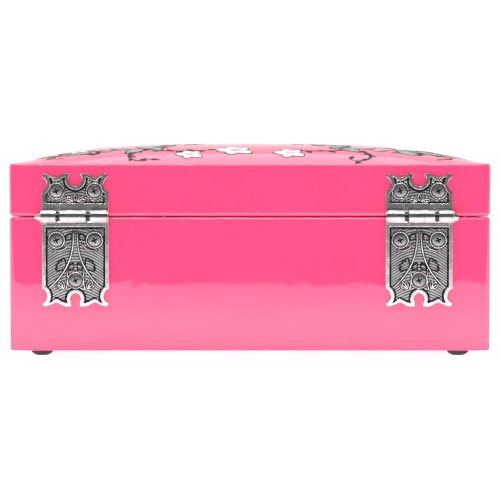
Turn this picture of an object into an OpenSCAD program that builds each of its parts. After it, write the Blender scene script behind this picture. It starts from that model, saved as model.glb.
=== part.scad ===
// Lacquered jewellery box with a musical movement and a dancer that stands up as the lid opens.
// +Z is up, the front faces -Y, and the hinges are on the back, at +Y.
// The origin is on the table, under the middle of the whole box with its hinges.

/* [Case] */
// Outside width of the case
box_w = 190; // [180:1:210]
// Outside depth of the case, without its hinges
box_d = 140; // [134:1:160]
// Height of the base's walls
base_h = 52.8; // [50:0.2:60]
// Height of the lid's side, up to the edge of the dome
lid_h = 20.8; // [18:0.2:28]
// Rise of the domed lid over its edge
dome_h = 7.8; // [3:0.2:12]
// Exponent of the dome's curve: a high one is flat on top with full shoulders
dome_power = 3.7; // [2:0.1:6]
// Thickness of the walls
wall_t = 7; // [6:0.5:9]
// Thickness of the lid's top at its edge
lid_top_t = 4; // [3:0.5:6]
// Radius of the upright corners
corner_r = 2.6; // [2:0.2:5]
// Radius of the level edges
edge_r = 1.3; // [0.6:0.1:1.8]
// Gap between the closed lid and the base
seam_gap = 0.3; // [0.2:0.1:0.8]
// Height of the space for the key under the bottom panel
key_recess = 10; // [9:0.5:13]
// Thickness of the bottom panel
panel_t = 3; // [2.5:0.5:4]
// Width of the ledge that carries the bottom panel
ledge_w = 3; // [2:0.5:5]

/* [Feet] */
// Height of a rubber foot
foot_h = 2; // [1.5:0.1:3]
// Diameter of a foot where it is glued on
foot_d = 9; // [7:0.5:9.5]
// Diameter of the flat that a foot stands on
foot_flat_d = 5; // [3:0.5:6]
// Distance from the case's side to the middle of a foot
foot_inset = 5; // [4.8:0.1:5.4]
// Distance from the case's end to the middle of a foot
foot_end = 12.5; // [8:0.5:20]

/* [Hinges] */
// Width of a hinge leaf
leaf_w = 26.2; // [24:0.2:28]
// Thickness of a leaf at its rim
leaf_t = 0.9; // [0.8:0.1:1.2]
// Depth of the sunk field inside the rim
field_depth = 0.35; // [0.2:0.05:0.5]
// Width of the raised rim
rim_w = 1.3; // [0.8:0.1:1.6]
// Height of the lid's leaf over the hinge axis
lid_leaf_h = 17; // [16.4:0.2:17.2]
// Length of the base's leaf under the hinge axis
base_leaf_h = 35.4; // [33:0.2:38]
// Outside diameter of the barrel
barrel_d = 6; // [5.4:0.1:6.4]
// Gap between the barrel and the case
barrel_gap = 0.2; // [0.1:0.05:0.4]
// Diameter of the hinge pin
pin_d = 3.4; // [2.4:0.1:3.8]
// Distance from the case's left end to the middle of the left hinge
left_inset = 28.3; // [24:0.1:34]
// Distance from the case's right end to the middle of the right hinge
right_inset = 26.2; // [24:0.1:34]
// Diameter of a hinge screw's head
head_d = 5.1; // [4.6:0.1:5.4]
// Diameter of a hinge screw's shank
shank_d = 2.2; // [1.8:0.1:2.4]
// Length of a hinge screw's shank in the wood
shank_l = 5.5; // [4:0.5:5.5]
// Angle to which the lid opens
lid_open = 95; // [90:1:96]

/* [Lid stay] */
// Distance from the hinge axis to each of the stay's two screws
stay_r = 23; // [22.5:0.5:23.5]
// Depth of the base's stay screw under the hinge axis
stay_drop = 6; // [5:0.5:6.5]
// Height of the lid's stay screw over the hinge axis
stay_rise = 8; // [7:0.5:9]
// Width of the stay arm
stay_w = 4.4; // [4.2:0.1:4.6]
// Thickness of the stay arm
stay_t = 1.2; // [1:0.1:1.4]
// Diameter of a stay screw where the arm turns on it
stay_pin_d = 2.6; // [2:0.1:2.8]

/* [Inside] */
// Thickness of the dividers
divider_t = 2.4; // [2:0.2:3]
// Width of the stage side, inside the case
stage_w = 68.6; // [67:0.2:72]
// Depth of the ring section
ring_d = 40; // [36:1:46]
// Height of the dividers over the floor
divider_h = 29; // [26:1:32]
// Height of the stage's top over the floor
deck_rise = 22; // [22:0.5:24]
// Thickness of the stage board
deck_t = 3; // [2.5:0.1:3]
// Room between the movement and the board in front of it
bay_room = 4.1; // [3:0.1:5]
// Thickness of the velvet pads
pad_t = 2; // [1.5:0.5:3]
// Number of ring rolls
roll_count = 4; // [3:1:5]
// Height of the ring rolls over the floor
roll_h = 24; // [20:1:27]
// Thickness of the lid's padded lining
lining_t = 2.5; // [2:0.1:3]
// Width of the mirror
mirror_w = 122; // [100:1:130]
// Depth of the mirror
mirror_d = 78; // [66:1:84]
// Thickness of the mirror
mirror_t = 2; // [1.5:0.1:2]

/* [Movement] */
// Distance from the inside of the case's right wall to the dancer's spindle
drive_from_wall = 36; // [35:0.5:37]
// Distance from the inside of the case's back wall to the dancer's spindle
drive_from_back = 21; // [19:0.5:22]
// Thickness of the cast bedplate
bed_t = 3; // [2.5:0.1:3]
// Diameter of the spring housing
housing_d = 27; // [25:0.5:27]
// Height of the cylinder's axis over the bedplate's underside
cyl_z = 7.6; // [7.5:0.1:7.8]
// Diameter of the pinned cylinder
drum_d = 12.4; // [11.6:0.2:12.6]
// Length of the pinned cylinder
drum_l = 17.4; // [16:0.2:17.4]
// How far a pin stands out of the cylinder
note_h = 0.6; // [0.4:0.1:0.7]
// Number of notes
notes = 18; // [12:1:20]
// Pins in each note's track
pins_per_note = 3; // [1:1:4]
// Gap between the pins and the tips of the comb
tip_gap = 0.15; // [0.1:0.05:0.3]
// Diameter of the cylinder's arbor
arbor_d = 2; // [1.6:0.1:2.4]
// Width of the winding key across its wings
key_w = 21; // [16:0.5:24]
// Height of the key's wings
key_h = 6; // [5:0.5:6.5]

/* [Dancer] */
// Height of the dancer, from her toes to her finger tips
dancer_h = 46; // [40:1:48]
// Diameter of her skirt
skirt_d = 22; // [16:1:23]
// Height of the fold over the stage
fold_rise = 12; // [12:0.5:14]
// Wire diameter of her spring
spring_wire = 0.6; // [0.4:0.1:0.7]
// Middle diameter of her spring's coils
spring_d = 4.6; // [4.2:0.1:5]
// Turns of her spring
spring_turns = 13; // [8:1:16]

/* [Hidden] */
$fn = 48;

// Clearances
glue_gap = 0.1;       // between pieces that are glued or dropped in place
run_gap = 0.05;       // around a pin or shaft that turns
clear_gap = 0.3;      // between pieces that pass each other
hold_gap = 0.02;      // around a shaft that is pressed in

// Heights of the case
z_rim = foot_h + base_h;
z_lid = z_rim + seam_gap;
z_edge = z_lid + lid_h;
z_ceiling = z_edge - lid_top_t;
z_ledge = foot_h + key_recess;
z_floor = z_ledge + panel_t;

// Plan of the case
axis_off = barrel_gap + barrel_d / 2;
barrel_out = axis_off + barrel_d / 2;
y_mid = -barrel_out / 2;
y_back = y_mid + box_d / 2;
in_w = box_w - 2 * wall_t;
in_d = box_d - 2 * wall_t;
x_in = in_w / 2;
y_in_front = y_mid - in_d / 2;
y_in_back = y_mid + in_d / 2;

// Hinge axis
y_hinge = y_back + axis_off;
z_hinge = z_rim + seam_gap / 2;
edge_steps = 4;
corner_steps = 5;
dome_side_steps = 10;

// Hinges
x_left = -box_w / 2 + left_inset;
x_right = box_w / 2 - right_inset;
knuckle_gap = 1.7;
knuckle_inner = [-12.6, -6.1];
knuckle_outer = [7.4, 12.6];
knuckle_middle = [knuckle_inner[1] + knuckle_gap, knuckle_outer[0] - knuckle_gap];
barrel_end = 0.1;     // between the last knuckle and the pin's head or finial
pin_head_l = 0.5;
collar_l = 0.5;       // of the finial, next to the barrel
end_room = 1;         // notch in a leaf's corner for the pin's head or collar
finial_right = 3.1;
finial_left = 2.3;
screw_dx = 7.5;
lid_screw_z = 10.1;
base_screw_z = 9.2;
low_screw_z = 25.1;
bite_depth = 2;
bite_half = 2.9;
bite_end = 1.3;       // from a bite to the leaf's lobed end
lobe_dip_x = 7.6;
lobe_dip = 1.7;
groove_w = 0.9;       // channel between a leaf's rim and its field
groove_depth = 0.25;  // under the field
head_h = 0.6;
slot_w = 0.7;

// Stay: both screws lie on one circle round the hinge axis, so the arm turns at half the lid's angle
stay_py = -sqrt(stay_r * stay_r - stay_drop * stay_drop);
stay_qy = -sqrt(stay_r * stay_r - stay_rise * stay_rise);
stay_rest = asin(stay_drop / stay_r) + asin(stay_rise / stay_r);
stay_short = 2 * stay_r * sin(stay_rest / 2);
stay_long = 2 * stay_r * sin((stay_rest + lid_open) / 2);
stay_tilt = asin((stay_py - stay_qy) / stay_short);
stay_collar = 0.6;
stay_head_h = 1;
stay_side_gap = 0.1;
x_arm = -x_in + stay_collar + stay_side_gap;
x_stay_head = x_arm + stay_t + clear_gap;
stay_room = stay_collar + stay_side_gap + stay_t + clear_gap + stay_head_h + 0.4;
stay_shank = 5;

// Inside of the base
x_div = x_in - stage_w - divider_t;
y_ring = y_in_front + ring_d;
x_split = (x_div - x_in - divider_t) / 2;
z_deck = z_floor + deck_rise;
z_deck_low = z_deck - deck_t;
cleat = 5;
z_lining = z_ceiling - lining_t;
z_mirror = z_lining - mirror_t;

// Movement: u runs from the dancer's spindle to the front
xs = x_in - drive_from_wall;
ys = y_in_back - drive_from_back;
z_bed = z_floor + bed_t;
z_cyl = z_floor + cyl_z;
housing_r = housing_d / 2;
housing_wall = 1.2;
crown_m = 0.6;
crown_teeth = 2 * round((housing_r + 2.1) / crown_m);
crown_r = crown_m * crown_teeth / 2;
pinion_teeth = 16;
pinion_r = crown_m * pinion_teeth / 2;
pinion_w = 1.4;
gear_m = 0.5;
gear_teeth = 26;
gov_teeth = 12;
wheel_teeth = 16;
gear_r = gear_m * gear_teeth / 2;
gov_r = gear_m * gov_teeth / 2;
wheel_r = gear_m * wheel_teeth / 2;
worm_r = 1.6;
worm_lead = 2 * PI * gear_m;
worm_l = 4.8;
addendum = 0.8;       // of the module, for all these fine teeth
dedendum = 1.1;
tooth_share = 0.33;   // of the pitch, so the teeth run free
tip_share = 0.19;
lug_t = 1.8;
u_pinion = crown_r - pinion_w / 2;
u_lug_a = u_pinion + pinion_w + 0.7;
u_drum = u_lug_a + lug_t + 0.4;
u_lug_b = u_drum + drum_l + 0.4;
u_gear = u_lug_b + lug_t + 0.5;
gear_w = 1.4;
u_worm = u_gear + gear_w / 2 + 3.8;
wheel_w = 1;
x_gov = -gear_r - gov_r;
x_worm = x_gov - wheel_r - worm_r;
gov_arbor_d = 1.6;
lug_c_t = 1.5;
u_lug_c = u_lug_b - 0.1;
u_lug_d = u_worm + 2.4;
drum_r = drum_d / 2;
z_crown_low = z_cyl + pinion_r - addendum * crown_m - 0.05;
z_crown_disc = z_cyl + pinion_r + addendum * crown_m + 0.35;
crown_disc_t = 1.4;
z_wheel_top = z_crown_disc + crown_disc_t;
spindle_d = 3;
z_spindle = z_deck + 2;
housing_h = z_crown_low - clear_gap - z_bed;
arbor_core_r = 3.6;
wind_d = 4;
z_key_low = foot_h + 1;
z_hub_top = z_ledge - 0.4;
hub_d = 7;
bed_half = 26;
bed_round = housing_r + 5.5;
ear_x = housing_r + 2.9;
ear_r = 2.5;
ear_t = 1.2;
u_bed = u_worm + 11.7;
bed_screw_in = 3.5;   // from the bedplate's edges to its front screws
mover_screws = [[0, -housing_r - 2.1], [bed_half - bed_screw_in - 0.5, u_bed - bed_screw_in],
    [-bed_half + bed_screw_in, u_bed - bed_screw_in]];
y_stage = ys - u_bed - bay_room;
y_riser = y_stage - divider_t;
lug_half = 3.2;
comb_screw_off = 15.8; // from the drum's surface
bracket_off = 6.4;    // from the worm's axis to the bracket's outer face
bracket_t = 1.5;
bracket_foot = 4.4;
bracket_screw_in = 2.5;
arm_half = 2;         // half the height of a bearing arm
arm_end = 2.1;        // of a bearing arm, beyond its shaft's axis
top_arm_half = 1.7;
z_arm_low = z_cyl + worm_l / 2 + 0.4;
arm_t = 1.4;
z_brake = z_arm_low + arm_t + 0.4;
brake_h = 1.4;
brake_r = 2.5;
z_vane = z_brake + brake_h + 0.5;
vane_r = 4.6;
z_vane_top = z_deck_low - 0.8;
u_lever = u_worm + 7.7;
z_lever = z_bed + 5;
u_wire = u_worm + vane_r + 1.2;
wire_d = 1;
lever_t = 1;
lever_half = 1.6;
lever_pad_h = 0.7;
lever_pad_low = 0.1;  // over the brake drum's underside
lever_finger = 1;
slot_ahead = 2.8;     // room in the deck for the wire's swing
post_t = 1.6;
post_half = 2;
z_wire_top = z_mirror - 0.6;

// Dancer: folded forward while the lid is closed
z_pivot = z_deck + fold_rise;
bend_r = z_pivot - z_spindle;
y_toe = ys - bend_r - 2;
toe_r = 0.9;
waist_r = 2.2;
skirt_at = 22.5;

// Level rounded rectangle of points, counter-clockwise; each side is split into side_steps
function side_point(c, x, y, t) =
    c == 0 ? [x * (1 - 2 * t), y] :
    c == 1 ? [-x, y * (1 - 2 * t)] :
    c == 2 ? [x * (2 * t - 1), -y] : [x, y * (2 * t - 1)];
function ring(w, d, r, z, side_steps = 1) = [
    for (c = [0:3])
        let (sx = (c == 0 || c == 3) ? 1 : -1, sy = c < 2 ? 1 : -1)
        let (cx = sx * (w / 2 - r), cy = sy * (d / 2 - r))
        let (px = c % 2 == 0 ? w / 2 - r : w / 2, py = c % 2 == 0 ? d / 2 : d / 2 - r)
        each concat(
            [for (i = [0:corner_steps]) let (a = 90 * (c + i / corner_steps))
                [cx + r * cos(a), cy + r * sin(a), z]],
            [for (j = [1:1:side_steps - 1]) let (p = side_point(c, px, py, j / side_steps))
                [p.x, p.y, z]])];
// Height of the domed lid over a point of its plan
function dome_z(x, y) = z_edge + dome_h
    * (1 - pow(min(1, abs(x) / (box_w / 2 - edge_r)), dome_power))
    * (1 - pow(min(1, abs(y) / (box_d / 2 - edge_r)), dome_power));
function flat(rings) = [for (r = rings) each r];

// Closed skin through a stack of rings with equal numbers of points; each end is a flat fan
module loft(rings) {
    n = len(rings[0]);
    m = len(rings);
    polyhedron(
        points = concat(flat(rings), [[0, 0, rings[0][0].z], [0, 0, rings[m - 1][0].z]]),
        faces = concat(
            [for (j = [0:n - 1]) [j, (j + 1) % n, m * n]],
            [for (i = [0:m - 2], j = [0:n - 1]) let (k = (j + 1) % n)
                [i * n + j, (i + 1) * n + j, (i + 1) * n + k, i * n + k]],
            [for (j = [0:n - 1]) [(m - 1) * n + j, m * n + 1, (m - 1) * n + (j + 1) % n]]),
        convexity = 6);
}

// Rings of an edge that rounds inward by e, from height z0 up to z1
function edge_in(z0, z1, e, steps) = [for (i = [1:steps]) let (a = 90 * i / steps)
    ring(box_w - 2 * e * (1 - cos(a)), box_d - 2 * e * (1 - cos(a)),
        corner_r - 0.5 * e * (1 - cos(a)), z0 + (z1 - z0) * sin(a))];
function edge_out(z0, z1, e, steps) = [for (i = [0:steps - 1]) let (a = 90 * i / steps)
    ring(box_w - 2 * e * (1 - sin(a)), box_d - 2 * e * (1 - sin(a)),
        corner_r - 0.5 * e * (1 - sin(a)), z1 - (z1 - z0) * cos(a))];

module base_shell() {
    foot_edge = 0.6;
    color("hotpink") difference() {
        translate([0, y_mid, 0]) loft(concat(
            edge_out(foot_h, foot_h + foot_edge, foot_edge, 2),
            [ring(box_w, box_d, corner_r, foot_h + foot_edge),
             ring(box_w, box_d, corner_r, z_rim - edge_r)],
            edge_in(z_rim - edge_r, z_rim, edge_r, edge_steps)));
        translate([-x_in, y_in_front, z_ledge]) cube([in_w, in_d, base_h]);
        translate([-x_in + ledge_w, y_in_front + ledge_w, 0])
            cube([in_w - 2 * ledge_w, in_d - 2 * ledge_w, box_d]);
        for (x = [x_left, x_right], p = base_screw_places())
            translate([x + p[0], y_back, z_hinge - p[1]]) pilot();
        stay_pilot(stay_py, -stay_drop);
    }
}

// Hole in the wood for a hinge screw's shank, from the back face inward
module pilot() {
    rotate([90, 0, 0]) translate([0, 0, -1])
        cylinder(d = shank_d + 2 * hold_gap, h = shank_l + 1.3);
}
function base_screw_places() = [[-screw_dx, base_screw_z], [screw_dx, base_screw_z], [0, low_screw_z]];
function lid_screw_places() = [[-screw_dx, lid_screw_z], [screw_dx, lid_screw_z]];

module stay_pilot(dy, dz) {
    translate([-x_in - stay_shank - 0.2, y_hinge + dy, z_hinge + dz]) rotate([0, 90, 0])
        cylinder(d = shank_d + 2 * hold_gap, h = stay_shank + 1);
}

module bottom_panel() {
    color("black") difference() {
        translate([-x_in + glue_gap, y_in_front + glue_gap, z_ledge])
            cube([in_w - 2 * glue_gap, in_d - 2 * glue_gap, panel_t]);
        translate([xs, ys, 0]) cylinder(d = wind_d + 2.4, h = z_floor + 1);
        for (p = mover_screws)
            translate([xs + p[0], ys - p[1], 0]) cylinder(d = shank_d + 2 * glue_gap, h = z_floor + 1);
    }
}

module rubber_feet() {
    x = box_w / 2 - foot_end;
    y = box_d / 2 - foot_inset;
    color("dimgray") for (sx = [-1, 1], sy = [-1, 1])
        translate([sx * x, y_mid + sy * y, 0]) rotate_extrude() polygon([
            [0, 0], [foot_flat_d / 2, 0], [foot_d / 2 - 0.5, foot_h * 0.45],
            [foot_d / 2, foot_h], [0, foot_h]]);
}

// Lobed end of a leaf from its side to its middle (s = 1), or from its middle to its other side (s = -1)
function lobes(w, e, mouth, s) =
    let (half = [[w, e - 1.5], [w - 0.2, e - 0.7], [w - 0.8, e - 0.15], [w - 1.6, e - 0.1],
        [w - 2.6, e - 0.5], [lobe_dip_x + 1, e - lobe_dip + 0.35], [lobe_dip_x, e - lobe_dip],
        [lobe_dip_x - 1, e - lobe_dip + 0.35], [mouth + 3.2, e - 0.4], [mouth + 2.1, e - 0.05],
        [mouth + 1.1, e]])
    s > 0 ? half : [for (i = [len(half) - 1:-1:0]) [-half[i].x, half[i].y]];

// Outline of a hinge leaf from the hinge axis (at 0) to its lobed end (at l), drawn in by an inset
module leaf_outline(l, notch_c, notch_r, mouth, start, inset) {
    w = leaf_w / 2 - inset;
    e = l - inset;
    bite_r = (bite_half * bite_half + bite_depth * bite_depth) / (2 * bite_depth);
    difference() {
        polygon(concat([[-w, start], [w, start]], lobes(w, e, mouth, 1),
            lobes(w, e, mouth, -1)));
        translate([0, l - notch_c]) circle(r = notch_r + inset);
        translate([-mouth - inset, l - notch_c]) square([2 * (mouth + inset), notch_c + 1]);
        for (s = [-1, 1])
            translate([s * (leaf_w / 2 - bite_depth + bite_r), l - bite_half - bite_end])
                circle(r = bite_r + inset);
    }
}

// Leaf on the back face: up = 1 is the lid's leaf and up = -1 is the base's
module leaf(up, out) {
    l = up > 0 ? lid_leaf_h : base_leaf_h;
    notch_c = up > 0 ? 2.3 : 3.2;
    notch_r = up > 0 ? 2.8 : 2.1;
    mouth = up > 0 ? 2 : 1.8;
    field = up > 0 ? barrel_d / 2 + 2.2 : barrel_d / 2 + 1;
    own = up > 0 ? [knuckle_inner, knuckle_outer] : [knuckle_middle];
    others = up > 0 ? [knuckle_middle] : [knuckle_inner, knuckle_outer];
    bore = pin_d / 2 + (up > 0 ? run_gap : hold_gap);
    places = up > 0 ? lid_screw_places() : base_screw_places();
    difference() {
        union() {
            difference() {
                translate([0, -axis_off, 0]) rotate([90, 0, 0]) mirror([0, up > 0 ? 0 : 1, 0])
                    translate([0, 0, -leaf_t]) linear_extrude(leaf_t)
                        leaf_outline(l, notch_c, notch_r, mouth, clear_gap, 0);
                translate([0, -axis_off, 0]) rotate([90, 0, 0]) mirror([0, up > 0 ? 0 : 1, 0])
                    translate([0, 0, -leaf_t - 1]) linear_extrude(1 + field_depth)
                        leaf_outline(l, notch_c, notch_r, mouth, field, rim_w);
                translate([0, -axis_off, 0]) rotate([90, 0, 0]) mirror([0, up > 0 ? 0 : 1, 0])
                    translate([0, 0, -leaf_t + field_depth - 0.1])
                    linear_extrude(groove_depth + 0.1) difference() {
                        leaf_outline(l, notch_c, notch_r, mouth, field, rim_w);
                        leaf_outline(l, notch_c, notch_r, mouth, field + groove_w, rim_w + groove_w);
                    }
                for (k = others) barrel(out, k, knuckle_gap - clear_gap, barrel_d / 2 + clear_gap);
                for (k = [[knuckle_inner[0] - end_room, knuckle_inner[0]],
                          [knuckle_outer[1], knuckle_outer[1] + end_room]])
                    barrel(out, k, 0, barrel_d / 2 + clear_gap);
            }
            for (k = own) barrel(out, k, 0, barrel_d / 2);
        }
        for (k = own) barrel(out, k, 1, bore);
        for (p = places)
            translate([p[0], -axis_off, up * p[1]]) rotate([-90, 0, 0]) translate([0, 0, -1])
                cylinder(d = shank_d + 2 * glue_gap, h = leaf_t + 2);
    }
}

// Cylinder on the hinge axis over the stretch k, lengthened by more at both ends
module barrel(out, k, more, r) {
    a = out > 0 ? k[0] : -k[1];
    translate([a - more, 0, 0]) rotate([0, 90, 0]) cylinder(r = r, h = k[1] - k[0] + 2 * more);
}

module at_hinge(x) {
    translate([x, y_hinge, z_hinge]) children();
}

module base_leaf_left() {
    color("silver") at_hinge(x_left) leaf(-1, -1);
}

module base_leaf_right() {
    color("silver") at_hinge(x_right) leaf(-1, 1);
}

module lid_leaf_left() {
    color("silver") at_hinge(x_left) leaf(1, -1);
}

module lid_leaf_right() {
    color("silver") at_hinge(x_right) leaf(1, 1);
}

// Pin with a flat head at its inner end and a turned finial at its outer end
module hinge_pin(out, finial, tip_d) {
    from = knuckle_inner[0] - barrel_end - pin_head_l;
    to = knuckle_outer[1] + barrel_end;
    rotate([0, out * 90, 0]) rotate_extrude() polygon([
        [0, from], [pin_d / 2 + 0.9, from], [pin_d / 2 + 0.9, from + pin_head_l],
        [pin_d / 2, from + pin_head_l], [pin_d / 2, to], [barrel_d / 2, to],
        [barrel_d / 2, to + collar_l], [barrel_d / 2 - 0.6, to + collar_l + 0.3], [tip_d / 2, to + finial],
        [0, to + finial]]);
}

module hinge_pin_left() {
    color("silver") at_hinge(x_left) hinge_pin(-1, finial_left, 3.6);
}

module hinge_pin_right() {
    color("silver") at_hinge(x_right) hinge_pin(1, finial_right, 1.4);
}

// Cross-slotted screw: its head sits at 0 and rises along +Z, and its shank runs down
module screw(shank, cap = head_d) {
    difference() {
        rotate_extrude() polygon(concat(
            [[0, -shank], [shank_d / 2 - 0.6, -shank], [shank_d / 2, -shank + 1.2], [shank_d / 2, 0],
             [cap / 2, 0]],
            [for (i = [0:5]) let (a = 18 * i) [cap / 2 * cos(a * 0.98), head_h * (0.3 + 0.7 * sin(a))]],
            [[0, head_h]]));
        for (a = [0, 90]) rotate([0, 0, a + 20])
            translate([-cap * 0.25, -slot_w / 2, head_h * 0.2]) cube([cap * 0.5, slot_w, head_h]);
    }
}

module back_screw(x, dz) {
    translate([x, y_back + leaf_t - field_depth, z_hinge + dz]) rotate([-90, 0, 0]) screw(shank_l);
}

module base_leaf_screws() {
    color("gray") for (x = [x_left, x_right], p = base_screw_places()) back_screw(x + p[0], -p[1]);
}

module lid_leaf_screws() {
    color("gray") for (x = [x_left, x_right], p = lid_screw_places()) back_screw(x + p[0], p[1]);
}

module board(x0, x1, y0, y1, z0, z1) {
    translate([x0, y0, z0]) cube([x1 - x0, y1 - y0, z1 - z0]);
}

module divider_main() {
    color("pink") board(x_div, x_div + divider_t, y_in_front + glue_gap, y_in_back - glue_gap,
        z_floor, z_floor + divider_h);
}

module divider_ring() {
    color("pink") board(-x_in + glue_gap, x_div - glue_gap, y_ring, y_ring + divider_t,
        z_floor, z_floor + divider_h);
}

module divider_back() {
    color("pink") board(x_split, x_split + divider_t, y_ring + divider_t + glue_gap, y_in_back - glue_gap,
        z_floor, z_floor + divider_h);
}

module deck_riser() {
    color("pink") board(x_div + divider_t + glue_gap, x_in - glue_gap, y_riser, y_stage, z_floor, z_deck);
}

module deck_cleats() {
    color("burlywood") for (x = [x_div + divider_t, x_in - cleat])
        board(x, x + cleat, y_stage + glue_gap, y_in_back - glue_gap, z_deck_low - cleat, z_deck_low);
}

module stage_deck() {
    color("deeppink") difference() {
        board(x_div + divider_t + glue_gap, x_in - glue_gap, y_stage + glue_gap, y_in_back - glue_gap,
            z_deck_low, z_deck);
        translate([xs, ys, z_deck_low - 1]) cylinder(d = spindle_d + 1.6, h = deck_t + 2);
        translate([xs + x_worm - wire_d, ys - u_wire - wire_d - slot_ahead, z_deck_low - 1])
            cube([2 * wire_d, 2 * wire_d + slot_ahead, deck_t + 2]);
    }
}

module compartment_pads() {
    color("deeppink") {
        board(-x_in + stay_room, x_split - clear_gap, y_ring + divider_t + clear_gap,
            y_in_back - clear_gap, z_floor, z_floor + pad_t);
        board(x_split + divider_t + clear_gap, x_div - clear_gap, y_ring + divider_t + clear_gap,
            y_in_back - clear_gap, z_floor, z_floor + pad_t);
        board(x_div + divider_t + clear_gap, x_in - clear_gap, y_in_front + clear_gap,
            y_riser - clear_gap, z_floor, z_floor + pad_t);
    }
}

module ring_rolls() {
    pitch = (ring_d - 2 * clear_gap) / roll_count;
    r = (pitch - clear_gap) / 2;
    color("deeppink") for (i = [0:roll_count - 1])
        translate([-x_in + clear_gap, y_in_front + clear_gap + pitch * (i + 0.5), z_floor])
            rotate([90, 0, 90]) linear_extrude(x_in + x_div - 2 * clear_gap) union() {
                translate([-r, 0]) square([2 * r, roll_h - r]);
                translate([0, roll_h - r]) circle(r = r);
            }
}

// Shouldered screw in the left wall: collar, plain stretch for the arm, and head
module stay_screw(dy, dz) {
    translate([-x_in, y_hinge + dy, z_hinge + dz]) rotate([0, 90, 0]) {
        translate([0, 0, -stay_shank]) cylinder(d = shank_d, h = stay_shank);
        cylinder(d = stay_pin_d + 2.2, h = stay_collar);
        cylinder(d = stay_pin_d, h = x_stay_head + x_in);
        translate([0, 0, x_stay_head + x_in]) difference() {
            cylinder(d = stay_pin_d + 1.8, h = stay_head_h);
            translate([-stay_pin_d, -slot_w / 2, stay_head_h - 0.5]) cube([2 * stay_pin_d, slot_w, 1]);
        }
    }
}

module stay_base_screw() {
    color("silver") stay_screw(stay_py, -stay_drop);
}

module stay_lid_screw() {
    color("silver") stay_screw(stay_qy, stay_rise);
}

// Slotted arm: it turns on the lid's screw and slides over the base's screw
module lid_stay() {
    hole_r = stay_pin_d / 2 + run_gap;
    color("silver") translate([x_arm, y_hinge + stay_qy, z_hinge + stay_rise]) rotate([stay_tilt, 0, 0])
        difference() {
            union() {
                translate([0, -stay_w / 2, -stay_long]) cube([stay_t, stay_w, stay_long]);
                for (z = [0, -stay_long]) translate([0, 0, z]) rotate([0, 90, 0])
                    cylinder(d = stay_w, h = stay_t);
            }
            for (z = [0, -stay_short, -stay_long]) translate([-1, 0, z]) rotate([0, 90, 0])
                cylinder(r = hole_r, h = stay_t + 2);
            translate([-1, -hole_r, -stay_long])
                cube([stay_t + 2, 2 * hole_r, stay_long - stay_short]);
        }
}

// Walls and inner board of the lid
module lid_shell() {
    e = edge_r;
    color("hotpink") difference() {
        translate([0, y_mid, 0]) loft(concat(edge_out(z_lid, z_lid + e, e, edge_steps),
            [ring(box_w, box_d, corner_r, z_lid + e), ring(box_w, box_d, corner_r, z_edge - e)]));
        translate([-x_in, y_in_front, z_lid - 1]) cube([in_w, in_d, z_ceiling - z_lid + 1]);
        for (x = [x_left, x_right], p = lid_screw_places())
            translate([x + p[0], y_back, z_hinge + p[1]]) pilot();
        stay_pilot(stay_qy, stay_rise);
    }
}

// Domed board glued on the lid's walls
module lid_dome() {
    e = edge_r;
    full = 72;
    rings = 7;
    flat_share = 0.3;
    shoulder = [for (i = [0:edge_steps]) let (a = full * i / edge_steps)
        let (in = e * (1 - cos(a)) / (1 - cos(full)))
        ring(box_w - 2 * in, box_d - 2 * in, corner_r - 0.5 * in, z_edge - e + e * sin(a) / sin(full),
            dome_side_steps)];
    dome = [for (i = [1:rings]) let (s = flat_share + (1 - flat_share) * cos(90 * i / rings))
        [for (p = ring(box_w - 2 * e, box_d - 2 * e, corner_r - 0.5 * e, 0, dome_side_steps))
            [p.x * s, p.y * s, i == rings ? z_edge + dome_h : dome_z(p.x * s, p.y * s)]]];
    color("hotpink") translate([0, y_mid, 0]) loft(concat(shoulder, dome));
}

module lid_lining() {
    color("deeppink") board(-x_in + clear_gap, x_in - clear_gap, y_in_front + clear_gap,
        y_in_back - clear_gap, z_lining, z_ceiling);
}

module lid_mirror() {
    color("lightblue") board(-mirror_w / 2, mirror_w / 2, y_mid - mirror_d / 2, y_mid + mirror_d / 2,
        z_mirror, z_lining);
}

// Gear outline: straight-flanked teeth, with one tooth pointing at the angle phase
function gear_points(teeth, m, phase, rise = addendum, fall = dedendum) = [
    for (i = [0:teeth - 1])
        let (a = phase + 360 * i / teeth, r = m * teeth / 2, p = 360 / teeth)
        let (foot = p * tooth_share * 0.66, tip = p * tip_share / 2)
        each [for (q = [[-foot, r - fall * m], [-tip, r + rise * m], [tip, r + rise * m],
                        [foot, r - fall * m]])
            [q[1] * cos(a + q[0]), q[1] * sin(a + q[0])]]];

// Frame of a level shaft that runs to the front: +Z of the child is the front, +Y stays up
module on_shaft(dx, u, z = z_cyl) {
    translate([xs + dx, ys - u, z]) rotate([90, 0, 0]) children();
}

// Bearing lug that stands on the bedplate
module lug(dx, u, t, z0, half) {
    board(xs + dx - half, xs + dx + half, ys - u - t, ys - u, z0, z_cyl);
    on_shaft(dx, u) cylinder(r = half, h = t);
}

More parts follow.
